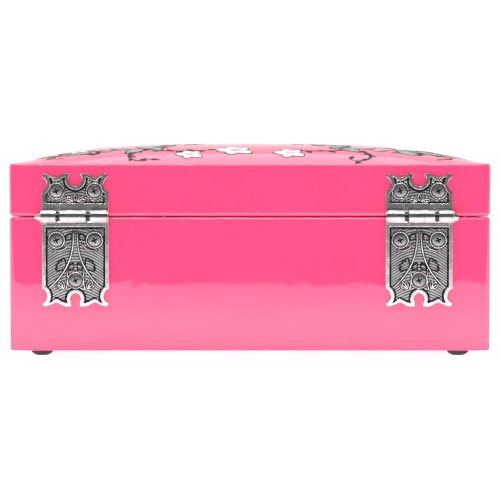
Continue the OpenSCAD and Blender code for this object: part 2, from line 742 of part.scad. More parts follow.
module bedplate() {
    comb_in = drum_r + 6.3;
    color("darkgray") difference() {
        union() {
            translate([xs, ys, z_floor]) cylinder(r = bed_round, h = bed_t);
            board(xs - bed_half, xs + bed_half, ys - u_bed, ys - bed_round * 0.6, z_floor, z_bed);
            board(xs + comb_in, xs + bed_half - 1, ys - u_lug_b - 1, ys - u_drum + 1, z_bed, z_cyl - 1.2);
            lug(0, u_lug_a, lug_t, z_floor, lug_half);
            lug(0, u_lug_b, lug_t, z_floor, lug_half);
        }
        // Windows under the pinion, the drum, the gear and the worm wheel
        for (q = [[0, pinion_r + 1, u_pinion - 0.6, u_lug_a - 0.1], [0, drum_r + note_h + 0.6, u_drum - 0.3,
                  u_lug_b - 0.1], [0, gear_r + 0.9, u_lug_b + lug_t, u_gear + gear_w + 0.5],
                  [x_gov, wheel_r + 0.9, u_worm - wheel_w / 2 - 0.5, u_worm + wheel_w / 2 + 0.5]])
            board(xs + q[0] - q[1], xs + q[0] + q[1], ys - q[3], ys - q[2], z_floor - 1, z_bed + 0.01);
        on_shaft(0, u_pinion) cylinder(r = arbor_d / 2 + run_gap, h = u_gear);
        translate([xs, ys, 0]) cylinder(r = wind_d / 2 + run_gap, h = z_bed + 1);
        translate([xs + x_worm, ys - u_worm, 0]) cylinder(d = gov_arbor_d + 2 * run_gap, h = z_bed + 1);
        for (p = mover_screws)
            translate([xs + p[0], ys - p[1], 0]) cylinder(d = shank_d + 2 * hold_gap, h = z_bed + 1);
        for (p = top_screws()) translate([xs + p[0], ys - p[1], 0])
            cylinder(d = shank_d + 2 * hold_gap, h = z_bed + 1);
        for (p = comb_screw_places()) translate([xs + p[0], ys - p[1], z_floor + 1.5])
            cylinder(d = shank_d + 2 * hold_gap, h = cyl_z);
    }
}

// Screws on the bedplate: two through the spring housing's ears, two through the bracket's foot
function top_screws() = concat([[-ear_x, 0], [ear_x, 0]],
    [for (u = [u_lug_c + bracket_screw_in, u_lug_d + lug_c_t - bracket_screw_in])
        [x_worm - bracket_off - bracket_foot / 2, u]]);
function comb_screw_places() = [for (f = [0.22, 0.78]) [drum_r + comb_screw_off, u_drum + f * drum_l]];

module movement_screws() {
    color("silver") {
        for (p = mover_screws) translate([xs + p[0], ys - p[1], z_ledge]) rotate([180, 0, 0])
            screw(panel_t + bed_t - 0.3, head_d - 0.6);
        for (i = [0:3]) translate([xs + top_screws()[i][0], ys - top_screws()[i][1], z_bed + ear_t])
            screw(bed_t + ear_t - 0.3, head_d - 0.9);
    }
}

module spring_housing() {
    hub_r = arbor_core_r + 0.4;
    color("darkgoldenrod") difference() {
        union() {
            translate([xs, ys, z_bed]) cylinder(r = housing_r, h = housing_h);
            board(xs - ear_x, xs + ear_x, ys - ear_r, ys + ear_r, z_bed, z_bed + ear_t);
            for (s = [-1, 1]) translate([xs + s * ear_x, ys, z_bed]) cylinder(r = ear_r, h = ear_t);
        }
        translate([xs, ys, z_bed - 1])
            cylinder(r = housing_r - housing_wall, h = housing_h + 1 - housing_wall);
        translate([xs, ys, z_bed]) cylinder(r = hub_r, h = housing_h + 1);
        for (s = [-1, 1]) translate([xs + s * ear_x, ys, z_bed - 1])
            cylinder(d = shank_d + 2 * glue_gap, h = 3);
    }
}

// Flat spiral strip, wound round the winding arbor
module mainspring() {
    turns = 5;
    strip = 0.35;
    r0 = arbor_core_r + clear_gap;
    r1 = housing_r - housing_wall - clear_gap - strip;
    steps = 18 * turns;
    function at(i, w) = let (a = 360 * turns * i / steps, r = r0 + w + (r1 - r0) * i / steps)
        [r * cos(a), r * sin(a)];
    color("slategray") translate([xs, ys, z_bed + 0.5])
        linear_extrude(housing_h - housing_wall - 1.9)
            polygon(concat([for (i = [0:steps]) at(i, 0)], [for (i = [steps:-1:0]) at(i, strip)]));
}

// Steel comb: its teeth are cut deeper towards the low notes
module comb() {
    pitch = drum_l / notes;
    gap = 0.28;
    tip = drum_r + note_h + tip_gap;
    back = bed_half - 1.6;
    body = drum_r + 12.6;
    deep = 2.6;
    shallow = 8.5;
    tooth_t = 0.7;
    teeth = [for (i = [0:notes - 1]) each
        let (a = i * pitch + gap / 2, b = (i + 1) * pitch - gap / 2)
        let (root = body - deep - (shallow - deep) * i / notes)
        [[root, a], [tip, a + 0.1], [tip, b - 0.1], [root, b]]];
    color("lightgray") difference() {
        union() {
            translate([xs, ys - u_drum, z_cyl - tooth_t / 2]) mirror([0, 1, 0]) linear_extrude(tooth_t)
                polygon(concat([[back, 0]], teeth, [[back, drum_l]]));
            board(xs + body, xs + back, ys - u_drum - drum_l, ys - u_drum, z_cyl - 1.2, z_cyl + 0.8);
        }
        for (p = comb_screw_places()) translate([xs + p[0], ys - p[1], z_cyl - 3])
            cylinder(d = shank_d + 2 * glue_gap, h = 6);
    }
}

module comb_screws() {
    color("gold") for (p = comb_screw_places())
        translate([xs + p[0], ys - p[1], z_cyl + 0.8]) screw(bed_t + 1.4, head_d - 0.9);
}

// Upright plate with two bearing arms for the governor wheel and a third over the worm
module governor_bracket() {
    wall = xs + x_worm - bracket_off;
    bore = gov_arbor_d / 2 + run_gap;
    color("silver") difference() {
        union() {
            board(wall, wall + bracket_t, ys - u_lug_d - lug_c_t, ys - u_lug_c, z_bed, z_arm_low + arm_t);
            board(wall - bracket_foot, wall + 0.1, ys - u_lug_d - lug_c_t, ys - u_lug_c,
                z_bed, z_bed + ear_t);
            for (u = [u_lug_c, u_lug_d])
                board(wall, xs + x_gov + arm_end, ys - u - lug_c_t, ys - u,
                    z_cyl - arm_half, z_cyl + arm_half);
            board(wall, xs + x_worm + top_arm_half, ys - u_worm - top_arm_half, ys - u_worm + top_arm_half,
                z_arm_low, z_arm_low + arm_t);
        }
        on_shaft(x_gov, u_lug_c - 1) cylinder(r = bore, h = u_lug_d + lug_c_t - u_lug_c + 2);
        translate([xs + x_worm, ys - u_worm, z_cyl]) cylinder(r = bore, h = worm_l);
        for (i = [2, 3]) translate([xs + top_screws()[i][0], ys - top_screws()[i][1], z_bed - 1])
            cylinder(d = shank_d + 2 * glue_gap, h = 4);
    }
}

// Post with the pin that the stop lever swings on
module lever_post() {
    x = xs + x_worm + lever_t / 2 + clear_gap;
    color("silver") {
        board(x, x + post_t, ys - u_lever - post_half, ys - u_lever + post_half, z_bed, z_lever + post_t);
        translate([x - lever_t - 2 * clear_gap, ys - u_lever, z_lever]) rotate([0, 90, 0])
            cylinder(d = gov_arbor_d, h = lever_t + 2 * clear_gap + 0.1);
        translate([x - lever_t - 2 * clear_gap - 0.6, ys - u_lever, z_lever]) rotate([0, 90, 0])
            cylinder(d = gov_arbor_d + 1.6, h = 0.6);
    }
}

// Stop lever: its pad stands at the brake drum, and its wire reaches up to the closed lid
module stop_lever() {
    pad = u_worm + brake_r + clear_gap;
    z_pad = z_brake + lever_pad_low;
    z_finger = z_vane + lever_half;
    half = lever_finger / 2;
    color("silver") {
        difference() {
            union() {
                translate([xs + x_worm - lever_t / 2, ys, 0]) rotate([90, 0, 90]) linear_extrude(lever_t)
                    polygon([[-u_lever - lever_half, z_lever], [-u_lever + lever_half, z_lever],
                        [-u_wire + lever_half / 2, z_pad], [-pad, z_pad], [-pad, z_pad + lever_pad_h],
                        [-u_wire + half, z_pad + lever_pad_h], [-u_wire + half, z_finger],
                        [-u_wire - half, z_finger], [-u_wire - 2 * half, z_pad + lever_pad_h / 2]]);
                translate([xs + x_worm - lever_t / 2, ys - u_lever, z_lever]) rotate([0, 90, 0])
                    cylinder(d = gov_arbor_d + 2, h = lever_t);
            }
            translate([xs + x_worm - 2, ys - u_lever, z_lever]) rotate([0, 90, 0])
                cylinder(d = gov_arbor_d + 2 * run_gap, h = 4);
        }
        translate([xs + x_worm, ys - u_wire, z_vane + lever_half / 2])
            cylinder(d = wire_d, h = z_wire_top - z_vane - lever_half / 2);
    }
}

// Wings and hub of the key, under the bottom panel
module winding_key() {
    r = key_h / 2;
    wing_t = 2;
    color("gold") translate([xs, ys, z_key_low]) difference() {
        union() {
            translate([0, 0, 1]) cylinder(d = hub_d, h = z_hub_top - z_key_low - 1);
            for (s = [-1, 1]) translate([s * (key_w / 2 - r), wing_t / 2, r]) rotate([90, 0, 0])
                cylinder(r = r, h = wing_t);
            translate([-key_w / 2 + r, -wing_t / 2, r - 1.6]) cube([key_w - 2 * r, wing_t, 3.2]);
        }
        for (s = [-1, 1]) translate([s * (key_w / 2 - r), wing_t, r]) rotate([90, 0, 0])
            cylinder(r = r - 1.7, h = 2 * wing_t);
        translate([0, 0, z_hub_top - z_key_low - 2.4]) cylinder(d = wind_d + 2 * hold_gap, h = 3);
    }
}

module winding_arbor() {
    top = z_crown_low - clear_gap - housing_wall - 1.3;
    color("silver") {
        translate([xs, ys, z_hub_top - 2.3]) cylinder(d = wind_d, h = top - z_hub_top + 2.3);
        translate([xs, ys, z_bed + clear_gap]) cylinder(r = arbor_core_r, h = top - z_bed - clear_gap);
    }
}

// Spring-driven wheel: the crown of teeth on its underside turns the cylinder's pinion
module drive_wheel() {
    out = crown_r + pinion_w / 2 + 0.1;
    core = crown_r - pinion_w / 2 - 0.2;
    width = tooth_share * PI * crown_m;
    half_in = asin(width / 2 / core);
    half_out = asin(width / 2 / out);
    p = 360 / crown_teeth;
    hub_r = arbor_core_r;
    z_flange = z_crown_low - clear_gap - housing_wall - 0.9;
    color("gold") translate([xs, ys, 0]) difference() {
        union() {
            translate([0, 0, z_crown_low]) linear_extrude(z_crown_disc - z_crown_low + 0.01)
                polygon([for (i = [0:crown_teeth - 1]) let (a = -90 + (i + 0.5) * p)
                    each [[core * cos(a - half_in), core * sin(a - half_in)],
                          [out * cos(a - half_out), out * sin(a - half_out)],
                          [out * cos(a + half_out), out * sin(a + half_out)],
                          [core * cos(a + half_in), core * sin(a + half_in)]]]);
            translate([0, 0, z_crown_disc]) cylinder(r = out + 0.2, h = crown_disc_t);
            translate([0, 0, z_wheel_top - 0.01]) cylinder(r = 5, h = 1.6);
            translate([0, 0, z_flange]) cylinder(r = hub_r, h = z_crown_low - z_flange + 0.1);
            translate([0, 0, z_flange]) cylinder(r = hub_r + 3, h = 0.6);
        }
        translate([0, 0, z_flange + 0.6]) cylinder(d = spindle_d + 2 * hold_gap, h = 20);
    }
}

module spindle() {
    z0 = z_crown_low - 0.5;
    color("silver") translate([xs, ys, 0]) {
        translate([0, 0, z0]) cylinder(d = spindle_d, h = z_spindle - z0);
        translate([0, 0, z_deck + 0.6]) cylinder(r = spring_d / 2 + spring_wire / 2 + 0.4, h = 0.8);
    }
}

// Brass cylinder with its pins; each note has its own track
module music_cylinder() {
    pitch = drum_l / notes;
    pin = 0.36;
    recess = 0.8;
    golden = 137.5;
    color("gold") difference() {
        union() {
            on_shaft(0, u_drum) cylinder(r = drum_r, h = drum_l);
            for (i = [0:notes - 1], j = [0:pins_per_note - 1])
                on_shaft(0, u_drum + (i + 0.5) * pitch)
                    rotate([0, 0, 30 + golden * i + 360 * j / pins_per_note])
                    translate([drum_r - 0.3, -pin / 2, -pin / 2]) cube([note_h + 0.3, pin, pin]);
        }
        on_shaft(0, u_drum - 1) cylinder(r = arbor_d / 2 + hold_gap, h = drum_l + 2);
        for (u = [u_drum - 1, u_drum + drum_l - recess])
            on_shaft(0, u) difference() {
                cylinder(r = drum_r - 0.8, h = recess + 1);
                translate([0, 0, -1]) cylinder(r = arbor_d / 2 + 1.2, h = recess + 3);
            }
    }
}

module cylinder_arbor() {
    color("silver") on_shaft(0, u_pinion - 0.2)
        cylinder(d = arbor_d, h = u_gear + gear_w + 0.5 - u_pinion);
}

// Spur gear on a shaft that runs to the front
module spur(dx, u, w, teeth, m, phase, bore) {
    on_shaft(dx, u) difference() {
        linear_extrude(w) polygon(gear_points(teeth, m, phase));
        translate([0, 0, -1]) cylinder(r = bore, h = w + 2);
    }
}

module cylinder_pinion() {
    color("gold") spur(0, u_pinion, pinion_w, pinion_teeth, crown_m, 90, arbor_d / 2 + hold_gap);
}

module cylinder_gear() {
    color("gold") spur(0, u_gear, gear_w, gear_teeth, gear_m, 90, arbor_d / 2 + hold_gap);
}

// Pinion and worm wheel in one piece
module governor_wheel() {
    u1 = u_worm - wheel_w / 2;
    bore = gov_arbor_d / 2 + hold_gap;
    color("ivory") {
        spur(x_gov, u_gear - 0.2, gear_w + 0.4, gov_teeth, gear_m, 0, bore);
        spur(x_gov, u1, wheel_w, wheel_teeth, gear_m, 0, bore);
        on_shaft(x_gov, u_gear + gear_w + 0.1) difference() {
            cylinder(r = gov_r - 1, h = u1 - u_gear - gear_w);
            translate([0, 0, -1]) cylinder(r = bore, h = u_worm);
        }
    }
}

module governor_arbor() {
    color("silver") on_shaft(x_gov, u_lug_c - 0.2)
        cylinder(d = gov_arbor_d, h = u_lug_d + lug_c_t + 0.4 - u_lug_c);
}

// Two-start worm on its upright shaft
module governor_worm() {
    tip = worm_r + addendum * gear_m;
    root = worm_r - dedendum * gear_m;
    tip_a = 360 * tip_share * PI * gear_m / worm_lead / 2;
    root_a = 2.2 * tip_a;
    steps = 16;
    function out(a) = let (d = abs(a % 180 > 90 ? a % 180 - 180 : a % 180))
        d < tip_a ? tip : d < root_a ? root + (tip - root) * (root_a - d) / (root_a - tip_a) : root;
    start = 90 - 360 * worm_l / 2 / worm_lead;
    color("silver") translate([xs + x_worm, ys - u_worm, 0]) {
        translate([0, 0, z_cyl - worm_l / 2]) rotate([0, 0, start])
            linear_extrude(worm_l, twist = -360 * worm_l / worm_lead, slices = 26)
                polygon([for (i = [0:steps - 1]) let (a = 360 * i / steps)
                    [out(a) * cos(a), out(a) * sin(a)]]);
        translate([0, 0, z_floor + 0.4]) cylinder(d = gov_arbor_d, h = z_vane_top + 0.4 - z_floor);
    }
}

// Brake drum with two air vanes, pressed on the worm's shaft
module air_fly() {
    bore = gov_arbor_d / 2 + hold_gap;
    vane_t = 0.5;
    color("silver") translate([xs + x_worm, ys - u_worm, 0]) difference() {
        union() {
            translate([0, 0, z_brake]) cylinder(r = brake_r, h = brake_h);
            translate([0, 0, z_brake]) cylinder(r = bore + 0.6, h = z_vane_top - z_brake);
            translate([-vane_r, -vane_t / 2, z_vane]) cube([2 * vane_r, vane_t, z_vane_top - z_vane]);
        }
        translate([0, 0, z_brake - 1]) cylinder(r = bore, h = 20);
    }
}

// Coil bent forward through a quarter circle, as it lies under the closed lid
module dancer_spring() {
    sides = 6;
    steps = 11 * spring_turns;
    r = spring_d / 2;
    tube = spring_wire / 2;
    // A point at the fraction t of the bend, at the distance a along the bend's radius and b across it
    function bend(t, a, b) = let (q = 90 * t, c = bend_r - a)
        [xs + b, ys - bend_r + c * cos(q), z_spindle + c * sin(q)];
    function wire_ring(i) = let (t = 0.5 * spring_wire / bend_r + (1 - spring_wire / bend_r) * i / steps)
        let (w = 360 * spring_turns * i / steps)
        [for (j = [0:sides - 1]) let (v = 360 * j / sides)
            let (d = r + tube * cos(v), dt = tube * sin(v) / bend_r * 2 / PI)
            bend(t + dt, d * cos(w), d * sin(w))];
    n = sides;
    color("silver") polyhedron(
        points = flat([for (i = [0:steps]) wire_ring(i)]),
        faces = concat([[for (j = [0:n - 1]) j]],
            [for (i = [0:steps - 1], j = [0:n - 1]) let (k = (j + 1) % n)
                [i * n + j, (i + 1) * n + j, (i + 1) * n + k, i * n + k]],
            [[for (j = [n - 1:-1:0]) steps * n + j]]),
        convexity = 10);
}

// Frame of the folded dancer: the child's +Z runs forward from the spring's end
module at_dancer() {
    translate([xs, y_toe, z_pivot]) rotate([90, 0, 0]) children();
}

module dancer_stem() {
    color("silver") at_dancer() {
        translate([0, 0, -2]) cylinder(r = toe_r, h = 2);
        translate([0, 0, -1.8]) cylinder(r = spring_d / 2 + spring_wire / 2, h = 0.8);
        translate([0, 0, -4]) cylinder(r = spring_d / 2 - spring_wire / 2 - 0.2, h = 2.2);
    }
}

// Limb between two points, thick ra at one end and rb at the other
module limb(a, b, ra, rb) {
    hull() {
        translate(a) sphere(r = ra, $fn = 14);
        translate(b) sphere(r = rb, $fn = 14);
    }
}

// Figure on the points of her toes, with her arms rounded over her head
module dancer_figure() {
    k = dancer_h / 46;
    color("bisque") at_dancer() scale(k) {
        rotate_extrude() polygon([
            [0, 0], [toe_r / k, 0], [1.1, 1.2], [1.2, 3], [1, 4.4], [1.5, 7], [1.85, 9.5], [1.55, 12],
            [1.4, 14],
            [1.75, 17], [2.1, 20], [2.5, 21.6], [waist_r, skirt_at - 0.5], [waist_r, skirt_at + 1.4],
            [1.9, 26], [2.5, 28.6], [2.7, 30.4], [2.3, 32], [1.1, 33.2], [0.85, 34], [0.9, 35.4],
            [0, 35.4]]);
        translate([0, 0, 37.2]) sphere(r = 2.3);
        translate([0, 0.9, 39.3]) sphere(r = 1.1);
        for (s = [-1, 1]) {
            limb([s * 2.1, 0, 31.3], [s * 4.9, -1.4, 36.6], 0.85, 0.65);
            limb([s * 4.9, -1.4, 36.6], [s * 3.3, -1.7, 43], 0.65, 0.5);
            limb([s * 3.3, -1.7, 43], [s * 0.9, -1.7, 45.6], 0.5, 0.4);
        }
    }
}

module dancer_tutu() {
    k = dancer_h / 46;
    z = skirt_at * k;
    r = skirt_d / 2;
    color("white") at_dancer() rotate_extrude() polygon([
        [waist_r * k + hold_gap, z + 1.3 * k], [waist_r * k + hold_gap, z - 0.3 * k], [r * 0.6, z - 1.2],
        [r, z - 2.2], [r, z - 1.4], [r * 0.6, z + 0.2]]);
}

base_shell();
bottom_panel();
rubber_feet();
base_leaf_left();
base_leaf_right();
hinge_pin_left();
hinge_pin_right();
base_leaf_screws();
divider_main();
divider_ring();
divider_back();
deck_riser();
deck_cleats();
stage_deck();
compartment_pads();
ring_rolls();
stay_base_screw();
bedplate();
spring_housing();
mainspring();
comb();
comb_screws();
governor_bracket();
lever_post();
movement_screws();
lid_shell();
lid_dome();
lid_leaf_left();
lid_leaf_right();
lid_leaf_screws();
lid_lining();
lid_mirror();
stay_lid_screw();
lid_stay();
winding_key();
winding_arbor();
drive_wheel();
spindle();
music_cylinder();
cylinder_arbor();
cylinder_pinion();
cylinder_gear();
governor_wheel();
governor_arbor();
governor_worm();
air_fly();
stop_lever();
dancer_spring();
dancer_stem();
dancer_figure();
dancer_tutu();
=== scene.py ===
# %% [markdown]
# # A lacquered jewellery box with a dancer
# The CAD model gives every rigid piece its place and size. This script gives each one its finish, and it builds
# the shapes that CAD leaves plain: the lacquered shells with their painted lid, the embossed hinges, the padded
# velvet, the mirror and the dancer. Everything is in metres, in the frame of the CAD model.

# %% Setting up
import math
import bmesh
import bpy
import numpy as np
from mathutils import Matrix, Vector


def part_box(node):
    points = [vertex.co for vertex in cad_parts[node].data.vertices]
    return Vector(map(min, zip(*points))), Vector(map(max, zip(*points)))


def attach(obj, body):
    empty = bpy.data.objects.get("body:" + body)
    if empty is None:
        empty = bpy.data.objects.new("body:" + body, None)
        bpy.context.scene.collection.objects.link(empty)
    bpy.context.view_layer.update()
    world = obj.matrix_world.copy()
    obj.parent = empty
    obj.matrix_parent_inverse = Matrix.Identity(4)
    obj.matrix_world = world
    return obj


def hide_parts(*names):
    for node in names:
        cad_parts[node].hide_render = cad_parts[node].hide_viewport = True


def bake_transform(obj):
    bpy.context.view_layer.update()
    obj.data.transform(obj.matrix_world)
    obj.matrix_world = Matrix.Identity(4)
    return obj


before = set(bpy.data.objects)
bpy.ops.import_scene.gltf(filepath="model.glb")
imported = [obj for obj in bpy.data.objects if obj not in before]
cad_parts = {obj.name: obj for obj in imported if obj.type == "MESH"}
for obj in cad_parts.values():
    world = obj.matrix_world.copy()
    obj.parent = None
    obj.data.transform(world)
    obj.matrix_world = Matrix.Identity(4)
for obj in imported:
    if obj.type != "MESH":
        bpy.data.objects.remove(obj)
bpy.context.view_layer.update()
MM = 0.001
scene = bpy.context.scene
scene.view_settings.view_transform = "Standard"
print("CAD nodes:", len(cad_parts))

# %% [markdown]
# ## Measures
# The frame already holds the places of the pieces, so they are read from it and not typed again.
# Only what the frame can't tell, such as the radius of an edge, is named here.

# %% Measures
base_lo, base_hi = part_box("base_shell")
lid_lo, lid_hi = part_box("lid_shell")
WIDTH = base_hi.x - base_lo.x
DEPTH = base_hi.y - base_lo.y
Y_MID = (base_hi.y + base_lo.y) / 2
Y_BACK = base_hi.y
WALL = 7 * MM
EDGE = 1.3 * MM            # radius of the level edges
CORNER = 2.6 * MM          # radius of the upright corners
INSIDE_CORNER = 0.4 * MM
WELD = 1e-6                # m, nearer points count as one
HOLD = 0.05 * MM           # how close an edge's holding ring lies
LID_TOP = 4 * MM           # thickness of the lid's board
DOME_POWER = 3.7
Z_RIM = base_hi.z
Z_EDGE = lid_hi.z + EDGE
DOME_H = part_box("lid_dome")[1].z - Z_EDGE
HINGE_Z = (Z_RIM + lid_lo.z) / 2
print(f"case {WIDTH / MM:.1f} x {DEPTH / MM:.1f} mm, dome rises {DOME_H / MM:.1f} mm")


# %% [markdown]
# ## Small helpers
# A mesh is made from its points and faces, smoothed, and put on its body in one call. Its faces are turned outward
# afterwards, so they may be listed in either direction.

# %% Mesh helpers
def new_object(name, points, faces, body, replaced=(), smooth=True):
    mesh = bpy.data.meshes.new(name)
    mesh.from_pydata([tuple(p) for p in points], [], [tuple(f) for f in faces])
    mesh.update()
    mesh.validate()
    obj = bpy.data.objects.new(name, mesh)
    scene.collection.objects.link(obj)
    if smooth:
        mesh.shade_smooth()
    if body:
        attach(obj, body)
    if replaced:
        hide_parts(*replaced)
    return obj


def face_outward(obj):
    bm = bmesh.new()
    bm.from_mesh(obj.data)
    bmesh.ops.remove_doubles(bm, verts=bm.verts, dist=WELD)
    bmesh.ops.recalc_face_normals(bm, faces=bm.faces)
    bm.to_mesh(obj.data)
    bm.free()
    return obj


def use(obj, *materials):
    obj.data.materials.clear()
    for m in materials:
        obj.data.materials.append(m)
    return obj


# %% [markdown]
# Most shapes here are rows of points. *quads* joins neighbouring rows, and *caps* closes the first and the last one.
# Writing the faces once, for all of them, leaves each shape with only its points to work out.

# %% Faces in rows
def quads(rows, columns, wrap=True, start=0):
    """Faces between neighbouring rows of points; wrap joins the two ends of each row."""
    faces = []
    for row in range(rows - 1):
        a, b = start + row * columns, start + (row + 1) * columns
        for k in range(columns if wrap else columns - 1):
            after = (k + 1) % columns
            faces.append((a + k, a + after, b + after, b + k))
    return faces


def caps(rows, columns):
    return [tuple(range(columns))[::-1], tuple(range((rows - 1) * columns, rows * columns))]


def around(sides):
    """Angles that divide a full turn."""
    return np.linspace(0, 2 * math.pi, sides, endpoint=False)


print("one band of a ring with 6 points:", quads(2, 6))


# %% [markdown]
# Node trees are put together with a few short helpers. In all of them a value that is a socket becomes a link, and
# any other value is written on the socket itself.

# %% Node helpers
def put(node, inputs):
    for key, value in inputs.items():
        if isinstance(value, bpy.types.NodeSocket):
            node.id_data.links.new(value, node.inputs[key])
        else:
            node.inputs[key].default_value = value
    return node


def add(tree, kind, inputs=None, **settings):
    node = tree.nodes.new(kind)
    for key, value in settings.items():
        setattr(node, key, value)
    return put(node, inputs or {})


def maths(tree, operation, *values):
    return add(tree, "ShaderNodeMath", dict(enumerate(values)), operation=operation).outputs[0]


def remap(tree, value, low, high, to_low=0.0, to_high=1.0, **settings):
    """The value, stretched from one range to another and held within the second."""
    limits = {"From Min": low, "From Max": high, "To Min": to_low, "To Max": to_high}
    return add(tree, "ShaderNodeMapRange", {"Value": value, **limits}, **settings).outputs[0]


def place_of(tree):
    return add(tree, "ShaderNodeTexCoord").outputs["Object"]


# %% [markdown]
# ## Effects that several materials share
# Each effect is a node group with values and normals only, so a material stays short. An input is a vector where
# its default is one, and a number otherwise.

# %% Node groups
def group(name, inputs, outputs):
    tree = bpy.data.node_groups.new(name, "ShaderNodeTree")
    for label, default in inputs.items():
        kind = "NodeSocketVector" if isinstance(default, tuple) else "NodeSocketFloat"
        tree.interface.new_socket(label, in_out="INPUT", socket_type=kind).default_value = default
    for label in outputs:
        kind = "NodeSocketVector" if label == "Normal" else "NodeSocketFloat"
        tree.interface.new_socket(label, in_out="OUTPUT", socket_type=kind)
    given = tree.nodes.new("NodeGroupInput")
    return tree, given.outputs, tree.nodes.new("NodeGroupOutput")


# %% [markdown]
# Lacquer, cloth and metal are never one even colour. *mottle* gives the slow, cloudy variation: a noise texture
# stretched between two factors, which later multiply a base colour.

# %% Mottle
def make_mottle():
    tree, given, sink = group("mottle", {"Scale": 60.0, "Low": 0.9, "High": 1.1}, ["Value"])
    noise = add(tree, "ShaderNodeTexNoise", {"Vector": place_of(tree), "Scale": given["Scale"], "Detail": 5.0,
                                             "Roughness": 0.55})
    put(sink, {"Value": remap(tree, noise.outputs[0], 0.3, 0.7, given["Low"], given["High"])})
    return tree


MOTTLE = make_mottle()
print("mottle:", len(MOTTLE.nodes), "nodes")


# %% [markdown]
# *grain* is the fine bump of brushed metal, rubber or nap. Its noise can be stretched along an axis, so that the
# same group makes brushing lines too. It gives the noise as a value as well, for the roughness to follow.

# %% Grain
def make_grain():
    tree, given, sink = group("grain", {"Scale": 2000.0, "Strength": 0.1, "Depth": 0.0001, "Stretch": (1, 1, 1)},
                              ["Normal", "Value"])
    stretched = add(tree, "ShaderNodeVectorMath", {0: place_of(tree), 1: given["Stretch"]}, operation="MULTIPLY")
    noise = add(tree, "ShaderNodeTexNoise", {"Vector": stretched.outputs[0], "Scale": given["Scale"], "Detail": 4.0})
    bump = add(tree, "ShaderNodeBump", {"Height": noise.outputs[0], "Strength": given["Strength"],
                                        "Distance": given["Depth"]})
    put(sink, {"Normal": bump.outputs[0], "Value": noise.outputs[0]})
    return tree


GRAIN = make_grain()
print("grain:", len(GRAIN.nodes), "nodes")


# %% [markdown]
# Handling polishes metal where an edge is sharp. The Bevel node rounds the normal there, so the difference
# from the true normal marks the edges, and noise breaks the mark up.

# %% Worn edges
def make_worn_edges():
    tree, given, sink = group("worn_edges", {"Radius": 0.0003, "Scale": 900.0}, ["Mask"])
    true_normal = add(tree, "ShaderNodeNewGeometry").outputs["Normal"]
    rounded = add(tree, "ShaderNodeBevel", {"Radius": given["Radius"]}, samples=4).outputs[0]
    facing = add(tree, "ShaderNodeVectorMath", {0: rounded, 1: true_normal}, operation="DOT_PRODUCT")
    edge = remap(tree, facing.outputs["Value"], 0.995, 0.9)
    noise = add(tree, "ShaderNodeTexNoise", {"Vector": place_of(tree), "Scale": given["Scale"]})
    put(sink, {"Mask": maths(tree, "MULTIPLY", edge, remap(tree, noise.outputs[0], 0.35, 0.6))})
    return tree


WORN = make_worn_edges()
print("worn edges:", len(WORN.nodes), "nodes")


# %% [markdown]
# A material starts as one shader. *effect* puts a shared group into it, and *tinted* multiplies a colour by a
# group's value.

# %% Starting a material
def effect(tree, which, **inputs):
    return add(tree, "ShaderNodeGroup", inputs, node_tree=which).outputs


def start_material(name):
    material = bpy.data.materials.new(name)
    material.use_nodes = True
    tree = material.node_tree
    return material, tree, tree.nodes["Principled BSDF"]


def tinted(tree, color, factor):
    return add(tree, "ShaderNodeVectorMath", {0: (*color,), "Scale": factor}, operation="SCALE").outputs[0]


# %% [markdown]
# ## Pink lacquer
# Several coats of tinted lacquer over wood: a saturated colour under a clear, hard gloss.
# The gloss isn't a perfect mirror. A fine orange peel and a slow wave left by sanding make the reflections swim.

# %% Lacquer
PINK = (0.93, 0.057, 0.168)


def make_lacquer():
    material, tree, shader = start_material("pink_lacquer")
    cloud = effect(tree, MOTTLE, Scale=45.0, Low=0.965, High=1.03)
    peel = effect(tree, GRAIN, Scale=420.0, Strength=0.1, Depth=0.00008)
    wave = effect(tree, GRAIN, Scale=38.0, Strength=0.2, Depth=0.0007)
    both = add(tree, "ShaderNodeVectorMath", {0: peel["Normal"], 1: wave["Normal"]}, operation="ADD")
    level = add(tree, "ShaderNodeVectorMath", {0: both.outputs[0]}, operation="NORMALIZE")
    put(shader, {"Base Color": tinted(tree, PINK, cloud["Value"]), "Roughness": 0.32, "Specular IOR Level": 0.0,
                 "Coat Weight": 0.68, "Coat Roughness": 0.012, "Coat IOR": 1.8, "Coat Normal": level.outputs[0]})
    return material


LACQUER = make_lacquer()
print("lacquer:", len(LACQUER.node_tree.nodes), "nodes")


# %% [markdown]
# Velvet is dark seen straight on and light at grazing angles, because light catches the ends of its pile. Sheen
# does that. Crushed patches come from the mottle, and the pile from a very fine grain.

# %% Velvet
def make_velvet(name, deep, sheen):
    material, tree, shader = start_material(name)
    crush = effect(tree, MOTTLE, Scale=110.0, Low=0.72, High=1.25)
    nap = effect(tree, GRAIN, Scale=3200.0, Strength=0.55, Depth=0.0002)
    put(shader, {"Base Color": tinted(tree, deep, crush["Value"]), "Normal": nap["Normal"], "Roughness": 0.9,
                 "Specular IOR Level": 0.15, "Sheen Weight": 0.9, "Sheen Roughness": 0.35,
                 "Sheen Tint": (*sheen, 1)})
    return material


VELVET = make_velvet("rose_velvet", (0.36, 0.018, 0.075), (1.0, 0.55, 0.68))
print("velvet:", len(VELVET.node_tree.nodes), "nodes")


# %% [markdown]
# ## The two lacquered shells
# On the real box both shells are boards glued up, rounded over with a cutter and sanded before the lacquer.
# Each is made here as one skin through a stack of rounded rectangles. A pair of rings close to each edge holds
# the flat faces flat, because a gloss surface shows every wrong normal.

